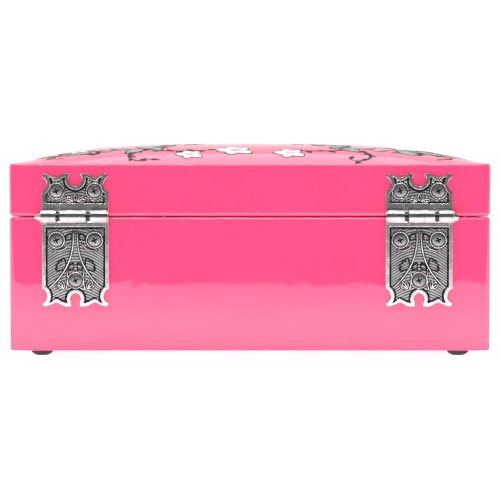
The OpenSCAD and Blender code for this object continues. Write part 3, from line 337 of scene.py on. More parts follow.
# %% Rings
def ring(inset, z, corner=None, sides=1, arc=8):
    """Points of a rounded rectangle of the case, drawn in by inset, at height z."""
    half_w, half_d = WIDTH / 2 - inset, DEPTH / 2 - inset
    r = max(CORNER - inset, 0.35 * MM) if corner is None else corner
    points = []
    for quarter, (sx, sy) in enumerate([(1, 1), (-1, 1), (-1, -1), (1, -1)]):
        for i in range(arc + 1):
            a = math.pi / 2 * (quarter + i / arc)
            points.append((sx * (half_w - r) + r * math.cos(a), sy * (half_d - r) + r * math.sin(a)))
        last = points[-1]
        span = (-2 * (half_w - r) * sx, 0) if quarter % 2 == 0 else (0, -2 * (half_d - r) * sy)
        points += [(last[0] + span[0] * k / sides, last[1] + span[1] * k / sides) for k in range(1, sides)]
    return np.array([(x, y, z) for x, y in points])


def rings_of(profile, sides=1):
    """A ring at each inset and height; those at the inner faces have the small inside corner."""
    return [ring(inset, z, INSIDE_CORNER if inset >= WALL - INSIDE_CORNER else None, sides) for inset, z in profile]


print("a ring of the case has", len(ring(0, 0)), "points")


# %% [markdown]
# A router leaves a quarter round on an edge. It is given as insets and heights, so that one function serves
# every rounded edge.

# %% Rounded edges
def round_over(inset_from, inset_to, z_from, z_to, steps, start_flat):
    """Insets and heights along a quarter round; start_flat says that it leaves a level face."""
    for i in range(steps + 1):
        a = math.pi / 2 * i / steps
        across, up = (math.sin(a), 1 - math.cos(a)) if start_flat else (1 - math.cos(a), math.sin(a))
        yield inset_from + (inset_to - inset_from) * across, z_from + (z_to - z_from) * up


def line_inside(obj, z_from, z_to):
    """Velvet on the faces inside the walls between two heights, and lacquer on the rest."""
    use(obj, LACQUER, VELVET)
    reach = 0.1 * MM - WALL
    for face in obj.data.polygons:
        x, y, z = face.center
        inner = abs(x) < WIDTH / 2 + reach and abs(y - Y_MID) < DEPTH / 2 + reach
        face.material_index = 1 if inner and z_from < z < z_to else 0


print("quarter round:", [round(inset / MM, 2) for inset, z in round_over(0, EDGE, 0, EDGE, 4, True)], "mm in")


# %% [markdown]
# The base is one skin from its bottom ledge, round the foot edge and the rim, to the inside. Its inner faces are
# lined with velvet almost up to the rim, so they take the second material.

# %% The base
LEDGE = WALL + 3 * MM      # inset of the ledge that holds the bottom panel
FOOT_EDGE = 0.6 * MM


def base_profile():
    ledge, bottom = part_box("bottom_panel")[0].z, base_lo.z
    yield from [(LEDGE, ledge), (LEDGE, ledge - HOLD), (LEDGE, bottom + HOLD), (LEDGE, bottom),
                (LEDGE - HOLD, bottom), (FOOT_EDGE + HOLD, bottom)]
    yield from round_over(FOOT_EDGE, 0, bottom, bottom + FOOT_EDGE, 4, True)
    yield from [(0, bottom + FOOT_EDGE + HOLD), (0, Z_RIM - EDGE - HOLD)]
    yield from round_over(0, EDGE, Z_RIM - EDGE, Z_RIM, 7, False)
    yield from [(EDGE + HOLD, Z_RIM), (WALL - INSIDE_CORNER - HOLD, Z_RIM)]
    yield from round_over(WALL - INSIDE_CORNER, WALL, Z_RIM, Z_RIM - INSIDE_CORNER, 3, True)
    yield from [(WALL, Z_RIM - 0.5 * MM), (WALL, Z_RIM - 2.6 * MM), (WALL, ledge + HOLD), (WALL, ledge),
                (WALL + HOLD, ledge)]


base_rings = rings_of(base_profile())
per_ring = len(base_rings[0])
faces = quads(len(base_rings), per_ring)
last = (len(base_rings) - 1) * per_ring
faces += [(last + k, last + (k + 1) % per_ring, (k + 1) % per_ring, k) for k in range(per_ring)]
base = new_object("lacquered_base", np.concatenate(base_rings) + (0, Y_MID, 0), faces, "case", ["base_shell"])
line_inside(face_outward(base), base_lo.z + 10 * MM, Z_RIM - 2.5 * MM)
print("base:", len(base.data.polygons), "faces")


# %% [markdown]
# The lid's top is a pillow: nearly flat in the middle, with full shoulders that run down to a small arris.
# Its height over the edge is the product of one curve along each side, so the four shoulders meet without a crease.

# %% The dome
def dome_height(x, y):
    along = 1 - np.minimum(1, np.abs(x) / (WIDTH / 2 - EDGE)) ** DOME_POWER
    across = 1 - np.minimum(1, np.abs(y) / (DEPTH / 2 - EDGE)) ** DOME_POWER
    return Z_EDGE + DOME_H * along * across


SIDES = 40                 # points along each straight side, so that the dome can curve between them


def dome_rings(steps=25):
    """The edge's ring, drawn in towards the middle and lifted onto the dome."""
    edge_ring = ring(EDGE, 0, None, SIDES)
    for share in np.cos(np.linspace(0, math.pi / 2, steps + 1)[:-1]):
        scaled = edge_ring * share
        scaled[:, 2] = dome_height(scaled[:, 0], scaled[:, 1])
        yield scaled


print("dome at a quarter of the width:", round((dome_height(WIDTH / 4, 0) - Z_EDGE) / MM, 2), "mm up")


# %% [markdown]
# The lid is skinned like the base: from the ceiling inside, down its wall, round the lower edge, up the outside and
# over the dome. Two fans of triangles close the middle of the dome and of the ceiling.

# %% The lid
CEILING = lid_hi.z + EDGE - LID_TOP


def lid_profile():
    low = lid_lo.z
    yield from [(WALL, CEILING - HOLD), (WALL, low + 2.6 * MM), (WALL, low + 0.5 * MM)]
    yield from round_over(WALL, WALL - INSIDE_CORNER, low + INSIDE_CORNER, low, 3, False)
    yield EDGE + HOLD, low
    yield from round_over(EDGE, 0, low, low + EDGE, 7, True)
    yield from [(0, low + EDGE + HOLD), (0, Z_EDGE - EDGE - HOLD)]
    yield from list(round_over(0, EDGE, Z_EDGE - EDGE, Z_EDGE, 8, False))[:-1]


lid_rings = rings_of(lid_profile(), SIDES) + list(dome_rings())
n = len(lid_rings[0])
last, ceiling_start = (len(lid_rings) - 1) * n, len(lid_rings) * n
top, under = ceiling_start + n, ceiling_start + n + 1
points = np.concatenate(lid_rings + [ring(WALL, CEILING, INSIDE_CORNER, SIDES),
                                     [(0, 0, Z_EDGE + DOME_H), (0, 0, CEILING)]])
faces = quads(len(lid_rings), n)
faces += [(last + k, last + (k + 1) % n, top) for k in range(n)]
faces += [(ceiling_start + (k + 1) % n, ceiling_start + k, under) for k in range(n)]
faces += [(ceiling_start + k, ceiling_start + (k + 1) % n, (k + 1) % n, k) for k in range(n)]
lid = new_object("lacquered_lid", points + (0, Y_MID, 0), faces, "lid", ["lid_shell", "lid_dome"])
line_inside(face_outward(lid), lid_lo.z + 2.5 * MM, CEILING + HOLD)
print("lid:", len(lid.data.polygons), "faces, top at", round((Z_EDGE + DOME_H) / MM, 2), "mm")


# %% [markdown]
# ## Metals, wood and rubber
# Every metal is the same recipe with other numbers: a base colour that clouds a little, brushing that runs one
# way, and bright worn edges. The hinges add a patina that lies in the sunk parts of their relief, and painted shade
# in its deepest groove, in the screws' slots and beside the ridges.

# %% Brushed metal
def make_metal(name, color, rough=0.3, brush=(1, 1, 12), strength=0.12, tarnish=(0.82, 1.05), worn=1.35):
    material, tree, shader = start_material(name)
    cloud = effect(tree, MOTTLE, Scale=260.0, Low=tarnish[0], High=tarnish[1])["Value"]
    lift = remap(tree, effect(tree, WORN, Radius=0.00025)["Mask"], 0.0, 1.0, 1.0, worn)
    lines = effect(tree, GRAIN, Scale=900.0, Strength=strength, Depth=0.00008, Stretch=brush)
    put(shader, {"Base Color": tinted(tree, color, maths(tree, "MULTIPLY", cloud, lift)), "Metallic": 1.0,
                 "Roughness": remap(tree, lines["Value"], 0.3, 0.7, rough - 0.07, rough + 0.1),
                 "Normal": lines["Normal"]})
    return material


# %% [markdown]
# Rubber, board, pine and nylon have no metal in them. They share one recipe: clouded colour, grain as bump, and
# a roughness that follows the grain.

# %% Plain materials
def make_plain(name, color, rough, scale, bump, low=0.85, high=1.12, stretch=(1, 1, 1), sheen=0.0):
    material, tree, shader = start_material(name)
    cloud = effect(tree, MOTTLE, Scale=scale / 8, Low=low, High=high)
    grain = effect(tree, GRAIN, Scale=scale, Strength=bump, Depth=0.00015, Stretch=stretch)
    put(shader, {"Base Color": tinted(tree, color, cloud["Value"]), "Normal": grain["Normal"],
                 "Roughness": remap(tree, grain["Value"], 0.3, 0.7, rough - 0.06, rough + 0.08),
                 "Sheen Weight": sheen})
    return material


# %% [markdown]
# Both hinges share one material, so it has to know the middle of the nearer one. From that come the painted shade on
# the pin's stretch between the knuckles, and the engraved lines of the field, which bow round the middle.

# %% Engraved lines
HINGE_LEFT, HINGE_RIGHT = ((lo.x + hi.x) / 2 for lo, hi in map(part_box, ("base_leaf_left", "base_leaf_right")))
ENGRAVED_PITCH = 1.1 * MM
ENGRAVED_BOW = 36.0        # rise of a line in metres, per square metre of the distance from the middle


def from_middle(tree, split):
    """How far a point lies from the middle of its hinge, along X."""
    left, right = (maths(tree, "ADD", split["X"], -middle) for middle in (HINGE_LEFT, HINGE_RIGHT))
    is_right = maths(tree, "GREATER_THAN", split["X"], 0.0)
    return add(tree, "ShaderNodeMix", {"Factor": is_right, 2: left, 3: right}).outputs[0]


def engraved_lines(tree, split, level):
    """Fine dark lines in the sunk field, bowed round the middle of each leaf."""
    across = from_middle(tree, split)
    height = maths(tree, "MULTIPLY_ADD", maths(tree, "MULTIPLY", across, across), ENGRAVED_BOW, split["Z"])
    wave = maths(tree, "SINE", maths(tree, "MULTIPLY", height, 2 * math.pi / ENGRAVED_PITCH))
    line = remap(tree, wave, -0.5, 0.5, 0.3, 2.1)
    raised = remap(tree, level, 0.24, 0.4)
    return add(tree, "ShaderNodeMix", {"Factor": raised, 2: line, 3: 1.0}).outputs[0]


print("hinges at", round(HINGE_LEFT / MM, 1), "and", round(HINGE_RIGHT / MM, 1), "mm")


# %% [markdown]
# A plated casting is dipped in a dark bath and then polished, so the dark stays only where the cloth can't
# reach. The depth behind the outer face is read along Y and turned into a shade by a colour ramp. The ramp gives the
# patina of that bath in the sunk field, and near-black painted shade in the deepest groove and the slots. Painting
# such a mask would need an image, and the depth gives the same result from the geometry alone.

# %% Relief metal
RAMP_OUT, RAMP_IN = 3, 1   # mm that the ramp reaches outside and inside the outer face


def shade_by_depth(tree, split, face, levels):
    depth = remap(tree, split["Y"], Y_BACK + (face + RAMP_OUT) * MM, Y_BACK + (face - RAMP_IN) * MM)
    ramp = add(tree, "ShaderNodeValToRGB", {0: depth})
    stops = ramp.color_ramp.elements
    while len(stops) < len(levels):
        stops.new(0.5)
    for stop, (deep, shade) in zip(stops, sorted(levels)):
        stop.position, stop.color = (deep + RAMP_OUT) / (RAMP_OUT + RAMP_IN), (shade, shade, shade, 1)
    return ramp.outputs[0]


def make_relief_metal(name, color, face, levels, shine, hatched=False, painted_shade_within=0.0):
    """Plated metal whose sunk parts are dark: patina in the field, and painted shade where the levels fall near
    black. face is the height of its outer face on the box's back, in mm;
    levels are (depth, shade) from there inward; depth is under 0 for what stands further out. Given a distance, it is
    darkened all over within that many mm of a hinge's middle: painted shade for a pin between its knuckles."""
    material, tree, shader = start_material(name)
    split = add(tree, "ShaderNodeSeparateXYZ", {0: place_of(tree)}).outputs
    shade = shade_by_depth(tree, split, face, levels)
    edge = effect(tree, WORN, Radius=0.00022, Scale=500.0)["Mask"]
    cloud = effect(tree, MOTTLE, Scale=300.0, Low=0.75, High=1.12)["Value"]
    fine = effect(tree, MOTTLE, Scale=1500.0, Low=0.86, High=1.1)["Value"]
    lift = maths(tree, "MULTIPLY_ADD", edge, 0.35, shade)
    factor = maths(tree, "MULTIPLY", lift, maths(tree, "MULTIPLY", cloud, fine))
    if hatched:
        factor = maths(tree, "MULTIPLY", factor, engraved_lines(tree, split, shade))
    if painted_shade_within:
        away = maths(tree, "ABSOLUTE", from_middle(tree, split))
        factor = maths(tree, "MULTIPLY", factor, remap(tree, away, (painted_shade_within - 0.1) * MM, painted_shade_within * MM, 0.1, 1.0))
    soft = add(tree, "ShaderNodeBevel", {"Radius": 0.3 * MM}, samples=6)
    noise = add(tree, "ShaderNodeTexNoise", {"Vector": place_of(tree), "Scale": 700.0, "Detail": 4.0})
    bump = add(tree, "ShaderNodeBump", {"Height": noise.outputs[0], "Strength": 0.12, "Distance": 0.0001,
                                        "Normal": soft.outputs[0]})
    put(shader, {"Base Color": tinted(tree, color, factor), "Metallic": 1.0, "Normal": bump.outputs[0],
                 "Roughness": remap(tree, shade, 0.1, 0.6, shine + 0.22, shine)})
    return material


# %% [markdown]
# Every metal and plastic of the box is made here once. The depths of the relief metals are in mm from the outer
# face of the leaf, or of the screw's head, where the cross-slots are the deepest part.

# %% The box's materials
PLATED = (1.0, 0.995, 0.985)
# The levels give patina in the leaf's sunk field, and near-black painted shade in the deep groove round it and in the
# screws' cross-slots.
LEAF_LEVELS = [(-2, 0.42), (-0.3, 0.45), (0.0, 0.66), (0.2, 0.72), (0.29, 0.32), (0.34, 0.23), (0.4, 0.2),
               (0.52, 0.015)]      # depth, shade
SCREW_LEVELS = [(0.0, 0.36), (0.18, 0.34), (0.3, 0.3), (0.4, 0.02), (0.6, 0.02)]
EVENLY = (1, 1, 1)
SILVER = make_relief_metal("antique_silver", PLATED, 0.9, LEAF_LEVELS, 0.17, hatched=True)
SCREW = make_relief_metal("screw_steel", (0.8, 0.8, 0.8), 1.15, SCREW_LEVELS, 0.25)
# The pin is darkened within 12.75 mm of the hinge's middle. This is painted shade in the gaps between the knuckles.
PIN = make_relief_metal("pin_steel", PLATED, 0.9, [(-2, 0.5), (0.6, 0.5)], 0.2, painted_shade_within=12.75)
# Near-black metal for the painted shade laid beside the hinges' ridges.
RIDGE_SHADE = make_metal("painted_ridge_shade", (0.022, 0.021, 0.02), 0.5, EVENLY, 0.4, (0.5, 1.6), 1.3)
STEEL = make_metal("steel", (0.62, 0.62, 0.64), 0.28)
STAY = make_metal("stay_steel", (0.66, 0.65, 0.63), 0.26, (8, 1, 1))
SPRING = make_metal("spring_steel", (0.5, 0.5, 0.53), 0.22, EVENLY, 0.05)
BRASS = make_metal("brass", (0.86, 0.6, 0.24), 0.24, EVENLY, 0.07, (0.8, 1.08))
ZINC = make_metal("cast_zinc", (0.52, 0.52, 0.53), 0.5, EVENLY, 0.45, (0.8, 1.1), 1.2)
BOARD = make_plain("black_board", (0.016, 0.015, 0.016), 0.6, 1600.0, 0.4)
RUBBER = make_plain("foot_rubber", (0.022, 0.022, 0.024), 0.72, 2400.0, 0.3)
PINE = make_plain("pine", (0.62, 0.4, 0.2), 0.62, 500.0, 0.35, 0.72, 1.15, (1, 0.08, 1))
NYLON = make_plain("nylon", (0.82, 0.78, 0.68), 0.42, 900.0, 0.1)
print("shade at the middle of the leaf's field:", LEAF_LEVELS[-2][1])

# %% [markdown]
# The CAD model's rigid pieces have the right shape already. They keep it, and only take their material.

# %% Dressing the CAD pieces
LOOK = {SILVER: "base_leaf_left base_leaf_right lid_leaf_left lid_leaf_right",
        PIN: "hinge_pin_left hinge_pin_right",
        SCREW: "base_leaf_screws lid_leaf_screws", STAY: "lid_stay stay_base_screw stay_lid_screw",
        STEEL: "winding_arbor spindle cylinder_arbor governor_arbor governor_bracket lever_post movement_screws "
               "comb air_fly stop_lever governor_worm dancer_stem",
        SPRING: "mainspring", ZINC: "bedplate spring_housing",
        BRASS: "winding_key drive_wheel music_cylinder cylinder_pinion cylinder_gear comb_screws",
        BOARD: "bottom_panel", RUBBER: "rubber_feet", PINE: "deck_cleats", NYLON: "governor_wheel"}
for material, names in LOOK.items():
    for name in names.split():
        use(bpy.data.objects[name], material)
print("dressed", sum(len(n.split()) for n in LOOK.values()), "CAD pieces")


# %% [markdown]
# ## Embossed hinge leaves
# The die that stamps such a leaf raises thin ridges over a dark field. The lines are drawn once for a leaf, in mm
# from its middle and from the hinge's axis, then laid on all of them. Three shapes are enough to draw with: a bow, a
# loop and a pointed leaflet.

# %% Drawing helpers
def bow(a, b, bend, n=12):
    """Points from a to b, bowed sideways by bend."""
    a, b = np.array(a, float), np.array(b, float)
    side = np.array([-(b - a)[1], (b - a)[0]])
    side = side / (np.linalg.norm(side) or 1)
    t = np.linspace(0, 1, n)[:, None]
    return a + (b - a) * t + side * bend * 4 * t * (1 - t)


def loop(cx, cz, r, n=22):
    a = np.linspace(0, 2 * math.pi, n)
    return np.stack([cx + r * np.cos(a), cz + r * np.sin(a)], 1)


def leaflet(x, z, length, angle, fat):
    """Closed pointed leaf from (x, z) at an angle in degrees from +X."""
    tip = (x + length * math.cos(math.radians(angle)), z + length * math.sin(math.radians(angle)))
    return np.concatenate([bow((x, z), tip, fat, 7), bow(tip, (x, z), fat, 7)])


def mirrored(angle, s):
    return angle if s > 0 else 180 - angle


print("a leaflet has", len(leaflet(0, 0, 3, 0, 0.5)), "points")


# %% [markdown]
# The long leaf on the base has a spire between two flaring curves, with scalloped fans beside it. The left half is
# the mirror of the right one, so the fans are listed once and drawn twice.

# %% Fans and spire
FANS = [(1.9, 9.0, 2.4, -50), (3.7, 20.3, 4.1, -32), (0.8, 20.6, 2.3, -42)]     # x, d, reach, angle


def spire_half(d):
    """Half the spire's width in mm at d mm below the axis."""
    return 0.8 + 9.8 * max(0, (d - 4.8) / 23.5) ** 2.8


def fan(x, d, reach, angle, lobes=4, spread=105):
    """Scalloped fan that opens from (x, d) at an angle in degrees: its outline and its ribs."""
    turns = np.radians(np.linspace(angle - spread / 2, angle + spread / 2, lobes * 5 + 1))
    wave = np.abs(np.sin(np.linspace(0, lobes * math.pi, len(turns))))
    way = np.stack([np.cos(turns), np.sin(turns)], 1)
    outline = np.concatenate([[(x, d)], (x, d) + way * reach * (0.84 + 0.16 * wave)[:, None], [(x, d)]])
    return outline, [np.array([(x, d) + w * reach * 0.22, (x, d) + w * reach * 0.78]) for w in way[2::5]]


def base_fans():
    return [fan(s * x, d, reach, mirrored(angle, s)) for x, d, reach, angle in FANS for s in (-1, 1)]


print(len(base_fans()), "fans on each long leaf")


# %% [markdown]
# A ring runs round each screw, a swash under the upper two, and feathers stand beside the lowest one. Level hatching
# fills the spire down to the fans. Each line comes with half its width in mm.

# %% Lines of the long leaf
RING = 3.15                # mm, radius of the ridge round a screw
HATCH_EDGE = 11.4          # mm from the middle
BASE_SCREWS = ((-7.5, 9.2), (7.5, 9.2), (0, 25.1))
SWASH = [(2.2, 9.8), (2.9, 11.4), (4.4, 12.8), (6.6, 13.5), (9.9, 13.4)]


def hatching(pitch=0.9, step=0.25, shortest=0.6):
    """Level lines inside the spire, broken where a screw's ring stands."""
    rows = []
    for d in np.arange(5.2, 28, pitch):
        start = None
        for x in np.arange(-HATCH_EDGE, HATCH_EDGE + 0.01, step):
            near = min(math.hypot(x - c, d - e) for c, e in BASE_SCREWS) < 3.6
            free = not near and abs(x) < spire_half(d) - 0.3 and d < 18.5
            if free and start is None:
                start = x
            if start is not None and (not free or x + step > HATCH_EDGE):
                if x - start > shortest:
                    rows.append([(start, d), (x, d)])
                start = None
    return rows


def base_relief():
    strokes = []
    for s in (-1, 1):
        strokes += [([(s * spire_half(d), d) for d in np.linspace(4.8, 28.3, 20)], 0.34),
                    (bow((s * 3.4, 20.6), (s * 3.9, 29.0), s * 0.5), 0.26),
                    (loop(s * 7.5, 9.2, RING), 0.3), ([(s * x, d) for x, d in SWASH], 0.28)]
        strokes += [(leaflet(s * 4.6, 28.4, length, mirrored(angle, s), 0.5), 0.2)
                    for angle, length in [(-80, 3.2), (-50, 3.6), (-20, 3.0)]]
    strokes.append((loop(0, 25.1, RING), 0.26))
    strokes += [(rib, 0.19) for outline, ribs in base_fans() for rib in ribs]
    return strokes + [(row, 0.1) for row in hatching()]


print("the long leaf has", len(base_relief()), "lines")


# %% [markdown]
# The short leaf on the lid has room only for its two screws, a small crest between them and upright hatching, which
# stops under the rings.

# %% Lines of the short leaf
def lid_relief():
    strokes = [(leaflet(0, 6.2, 2.8, 90, 0.55), 0.22)]
    for s in (-1, 1):
        strokes.append((loop(s * 7.5, 10.1, RING), 0.26))
        strokes += [(leaflet(s * 0.7, 6.1, length, mirrored(angle, s), s * 0.5), 0.22)
                    for angle, length in [(6, 3.6), (34, 3.2)]]
        strokes += [(leaflet(s * x, d, length, mirrored(angle, s), s * fat), 0.18)
                    for x, d, length, angle, fat in [(10.6, 13.4, 2.0, 75, 0.4), (5.2, 13.3, 2.4, 70, 0.5)]]
        for x in np.arange(4.9, 11.3, 0.9):
            under = 10.1 - math.sqrt(3.55 ** 2 - (x - 7.5) ** 2) if abs(x - 7.5) < 3.5 else 9.5
            strokes.append(([(s * x, 5.5), (s * (x + 0.06 * (under - 5.5)), under)], 0.13))
    return strokes


print("the short leaf has", len(lid_relief()), "lines")


# %% [markdown]
# Each line becomes a low ridge with a round section. A curve with a bevel would do too, but a mesh lets the ridge
# taper at its ends and keeps its feet sunk in the field, so no gap shows.

# %% Ridges
FIELD_FACE = Y_BACK + 0.55 * MM
SECTION = [(-1.0, -0.12), (-0.62, 0.6), (0.0, 1.0), (0.62, 0.6), (1.0, -0.12)]      # across, up


def ridge_mesh(name, centre_x, sign, strokes, body, material=SILVER, rise=None):
    """Low round ridges along lines, on the leaf that lies above the axis (sign 1) or below it (-1)."""
    points, faces = [], []
    for line, half in strokes:
        line = np.array(line, float)
        line = line[np.concatenate([[True], np.linalg.norm(np.diff(line, axis=0), axis=1) > 1e-4])]
        closed = np.linalg.norm(line[0] - line[-1]) < 1e-3 and len(line) > 4
        if closed:
            line = line[:-1]
        n, m, start = len(line), len(SECTION), len(points)
        height = (rise or min(0.3, 0.16 + half * 0.5)) * MM
        for i in range(n):
            ahead = line[(i + 1) % n] if closed or i < n - 1 else line[i]
            behind = line[i - 1] if closed or i > 0 else line[i]
            run = (ahead - behind) / (np.linalg.norm(ahead - behind) or 1)
            taper = 1 if closed else min(1, 0.35 + min(i, n - 1 - i) * 0.65)
            for across, up in SECTION:
                x, d = line[i] + np.array([-run[1], run[0]]) * across * half * taper
                points.append((centre_x + x * MM, FIELD_FACE + up * height * (0.6 + 0.4 * taper),
                               HINGE_Z + sign * d * MM))
        faces += quads(n, m, start=start)
        if closed:
            last = start + (n - 1) * m
            faces += [(last + k, last + (k + 1) % m, start + (k + 1) % m, start + k) for k in range(m)]
        else:
            faces += [tuple(start + k for k in cap) for cap in caps(n, m)]
    obj = face_outward(new_object(name, points, faces, body))
    return use(obj, material)


# %% [markdown]
# Painted shade lies beside each ridge and round each fan, where the relief would shadow the field. It is drawn with
# the same lines, laid wider and nearly flat in a near-black metal. The finest lines are left out, because they are
# too low to throw any shade.

# %% Laying the relief
def shade_beside(strokes):
    return [(line, half + 0.34) for line, half in strokes if half > 0.19]


FAN_OUTLINES = [(outline, 0.42) for outline, ribs in base_fans()]
BASE_RIDGE_SHADE, LID_RIDGE_SHADE = shade_beside(base_relief()) + FAN_OUTLINES, shade_beside(lid_relief())
for side, middle in (("left", HINGE_LEFT), ("right", HINGE_RIGHT)):
    ridge_mesh("base_leaf_relief_" + side, middle, -1, base_relief(), "case")
    # The wider ribbons in the near-black metal are painted shade at the ridges' feet.
    ridge_mesh("base_leaf_patina_" + side, middle, -1, BASE_RIDGE_SHADE, "case", RIDGE_SHADE, 0.08)
    ridge_mesh("lid_leaf_patina_" + side, middle, 1, LID_RIDGE_SHADE, "lid", RIDGE_SHADE, 0.045)
    made = ridge_mesh("lid_leaf_relief_" + side, middle, 1, lid_relief(), "lid")
    print(side, "hinge at", round(middle / MM, 1), "mm,", len(made.data.polygons), "faces on the lid's leaf")


# %% [markdown]
# ## Painted lid
# The painter works over the lacquer with a soft brush: dark scrolls first, then grey-green leaves with dark
# edges, then pale blossoms. Each paint is two near colours, mixed along the bristles' streaks.

# %% Paint
def make_paint(name, color, second):
    material, tree, shader = start_material(name)
    bristle = add(tree, "ShaderNodeTexNoise", {"Vector": place_of(tree), "Scale": 420.0, "Detail": 6.0,
                                               "Distortion": 1.5}).outputs[0]
    mix = add(tree, "ShaderNodeMix", data_type="RGBA")
    put(mix, {0: remap(tree, bristle, 0.38, 0.62), 6: (*color, 1), 7: (*second, 1)})
    bump = add(tree, "ShaderNodeBump", {"Height": bristle, "Strength": 0.25, "Distance": 0.0001})
    put(shader, {"Base Color": mix.outputs[2], "Normal": bump.outputs[0], "Roughness": 0.4,
                 "Specular IOR Level": 0.0, "Coat Weight": 0.1})
    return material


INK = make_paint("paint_ink", (0.022, 0.032, 0.036), (0.06, 0.085, 0.085))
SAGE = make_paint("paint_sage", (0.19, 0.26, 0.235), (0.36, 0.44, 0.41))
PEARL = make_paint("paint_pearl", (0.60, 0.60, 0.60), (0.86, 0.84, 0.85))
ROSE = make_paint("paint_rose", (0.80, 0.33, 0.46), (0.9, 0.62, 0.7))
print("paints:", ", ".join(m.name for m in (INK, SAGE, PEARL, ROSE)))


# %% [markdown]
# A painter's scroll starts straight and curls up. Each line is drawn by turning a little at every step, which
# gives freer curves than arcs do.

# %% Scrolls and stems
def walk(x, y, length, heading, n, turn_at):
    """Points of a line of n steps; turn_at(i) is how far it turns before step i, in radians."""
    points, a, step = [(x, y)], math.radians(heading), length / n
    for i in range(n):
        a += turn_at(i)
        x, y = x + step * math.cos(a), y + step * math.sin(a)
        points.append((x, y))
    return points


def scroll(x, y, size, heading, turn, n=26):
    """Stem that starts straight and curls up; turn is +1 for a curl to the left."""
    return walk(x, y, size, heading, n, lambda i: turn * (0.02 + 0.42 * (i / n) ** 2.4))


def stem(x, y, length, heading, bend, n=18):
    return walk(x, y, length, heading, n, lambda i: math.radians(bend) / n)


print("a scroll has", len(scroll(0, 0, 40, 90, 1)), "points")


# %% [markdown]
# A brush stroke swells and tapers. It is a flat ribbon here, laid on the dome afterwards.

# %% Brush strokes
def stroke_mesh(lines, half):
    """Flat ribbons in mm that swell in the middle and taper at both ends."""
    points, faces = [], []
    for line in lines:
        line = np.array(line)
        start, n = len(points), len(line)
        for i in range(n):
            run = line[min(i + 1, n - 1)] - line[max(i - 1, 0)]
            run = run / np.linalg.norm(run)
            wide = half * (0.25 + 0.75 * math.sin(math.pi * min(1, (i + 0.6) / n)))
            points += [(*(line[i] + s * wide * np.array([-run[1], run[0]])), 0.0) for s in (-1, 1)]
        faces += [(start + 2 * i, start + 2 * i + 2, start + 2 * i + 3, start + 2 * i + 1) for i in range(n - 1)]
    return np.array(points), faces


print("a straight stroke has", len(stroke_mesh([[(0, 0), (5, 0), (10, 0)]], 1)[1]), "faces")


# %% [markdown]
# One leaf, or one petal, is the pattern that the nodes repeat. Its outline is a sine, pushed towards the stem, and a
# second sine makes the waves in a petal's edge.

# %% Leaf pattern
def leaf_shape(name, material, length, half, lobes=0, rows=8, columns=5):
    """Flat leaf along +X, in mm; lobes makes its edge wavy."""
    points = []
    for i in range(rows + 1):
        t = i / rows
        wide = half * math.sin(math.pi * t ** 0.8) * (1 + 0.16 * math.sin(math.pi * lobes * t)) + 0.02
        points += [(length * t * MM, wide * (k / 2 - 1) * MM, 0) for k in range(columns)]
    mesh = bpy.data.meshes.new(name)
    mesh.from_pydata(points, [], [(a, d, c, b) for a, b, c, d in quads(rows + 1, columns, wrap=False)])
    mesh.materials.append(material)
    return bpy.data.objects.new(name, mesh)


SAGE_LEAF = leaf_shape("sage_leaf", SAGE, 9.5, 2.5)
DARK_LEAF = leaf_shape("dark_leaf", INK, 10.6, 3.1)
SMALL_LEAF = leaf_shape("small_leaf", INK, 4.2, 1.1, rows=5)
PETAL = leaf_shape("petal", PEARL, 8, 3.6, 3)
HALO = leaf_shape("petal_edge", INK, 8.8, 4.3, 3)
print("a leaf has", len(SAGE_LEAF.data.polygons), "faces")


# %% [markdown]
# Leaves that follow a stem are the kind of work that Geometry Nodes do well. The stems become curves, the curves
# become evenly spaced points, and a leaf stands at each, turned to one side and then to the other. All choices are
# inputs, so one tree paints leaves, edges and petals.

# %% The inputs of the spray
SPRAY_INPUTS = {"Stems": ("Geometry", None), "Leaf": ("Object", None), "Spacing": ("Float", 0.004),
                "Splay": ("Float", 0.8), "Alternate": ("Float", 1.0), "Size": ("Float", 1.0), "Seed": ("Int", 3),
                "Lift": ("Float", 0.0001), "Paint": ("Material", None)}
SPRAY = bpy.data.node_groups.new("painted_spray", "GeometryNodeTree")
for label, (kind, default) in SPRAY_INPUTS.items():
    socket = SPRAY.interface.new_socket(label, in_out="INPUT", socket_type="NodeSocket" + kind)
    if default is not None:
        socket.default_value = default
SPRAY.interface.new_socket("Geometry", in_out="OUTPUT", socket_type="NodeSocketGeometry")
SPRAY_KEYS = {item.name: item.identifier for item in SPRAY.interface.items_tree if item.in_out == "INPUT"}
print("inputs:", ", ".join(SPRAY_KEYS))


# %% [markdown]
# The first half of the tree sets the leaves. Along the stems, the index of a point says on which side its leaf
# stands, and a random share varies its turn and its size.

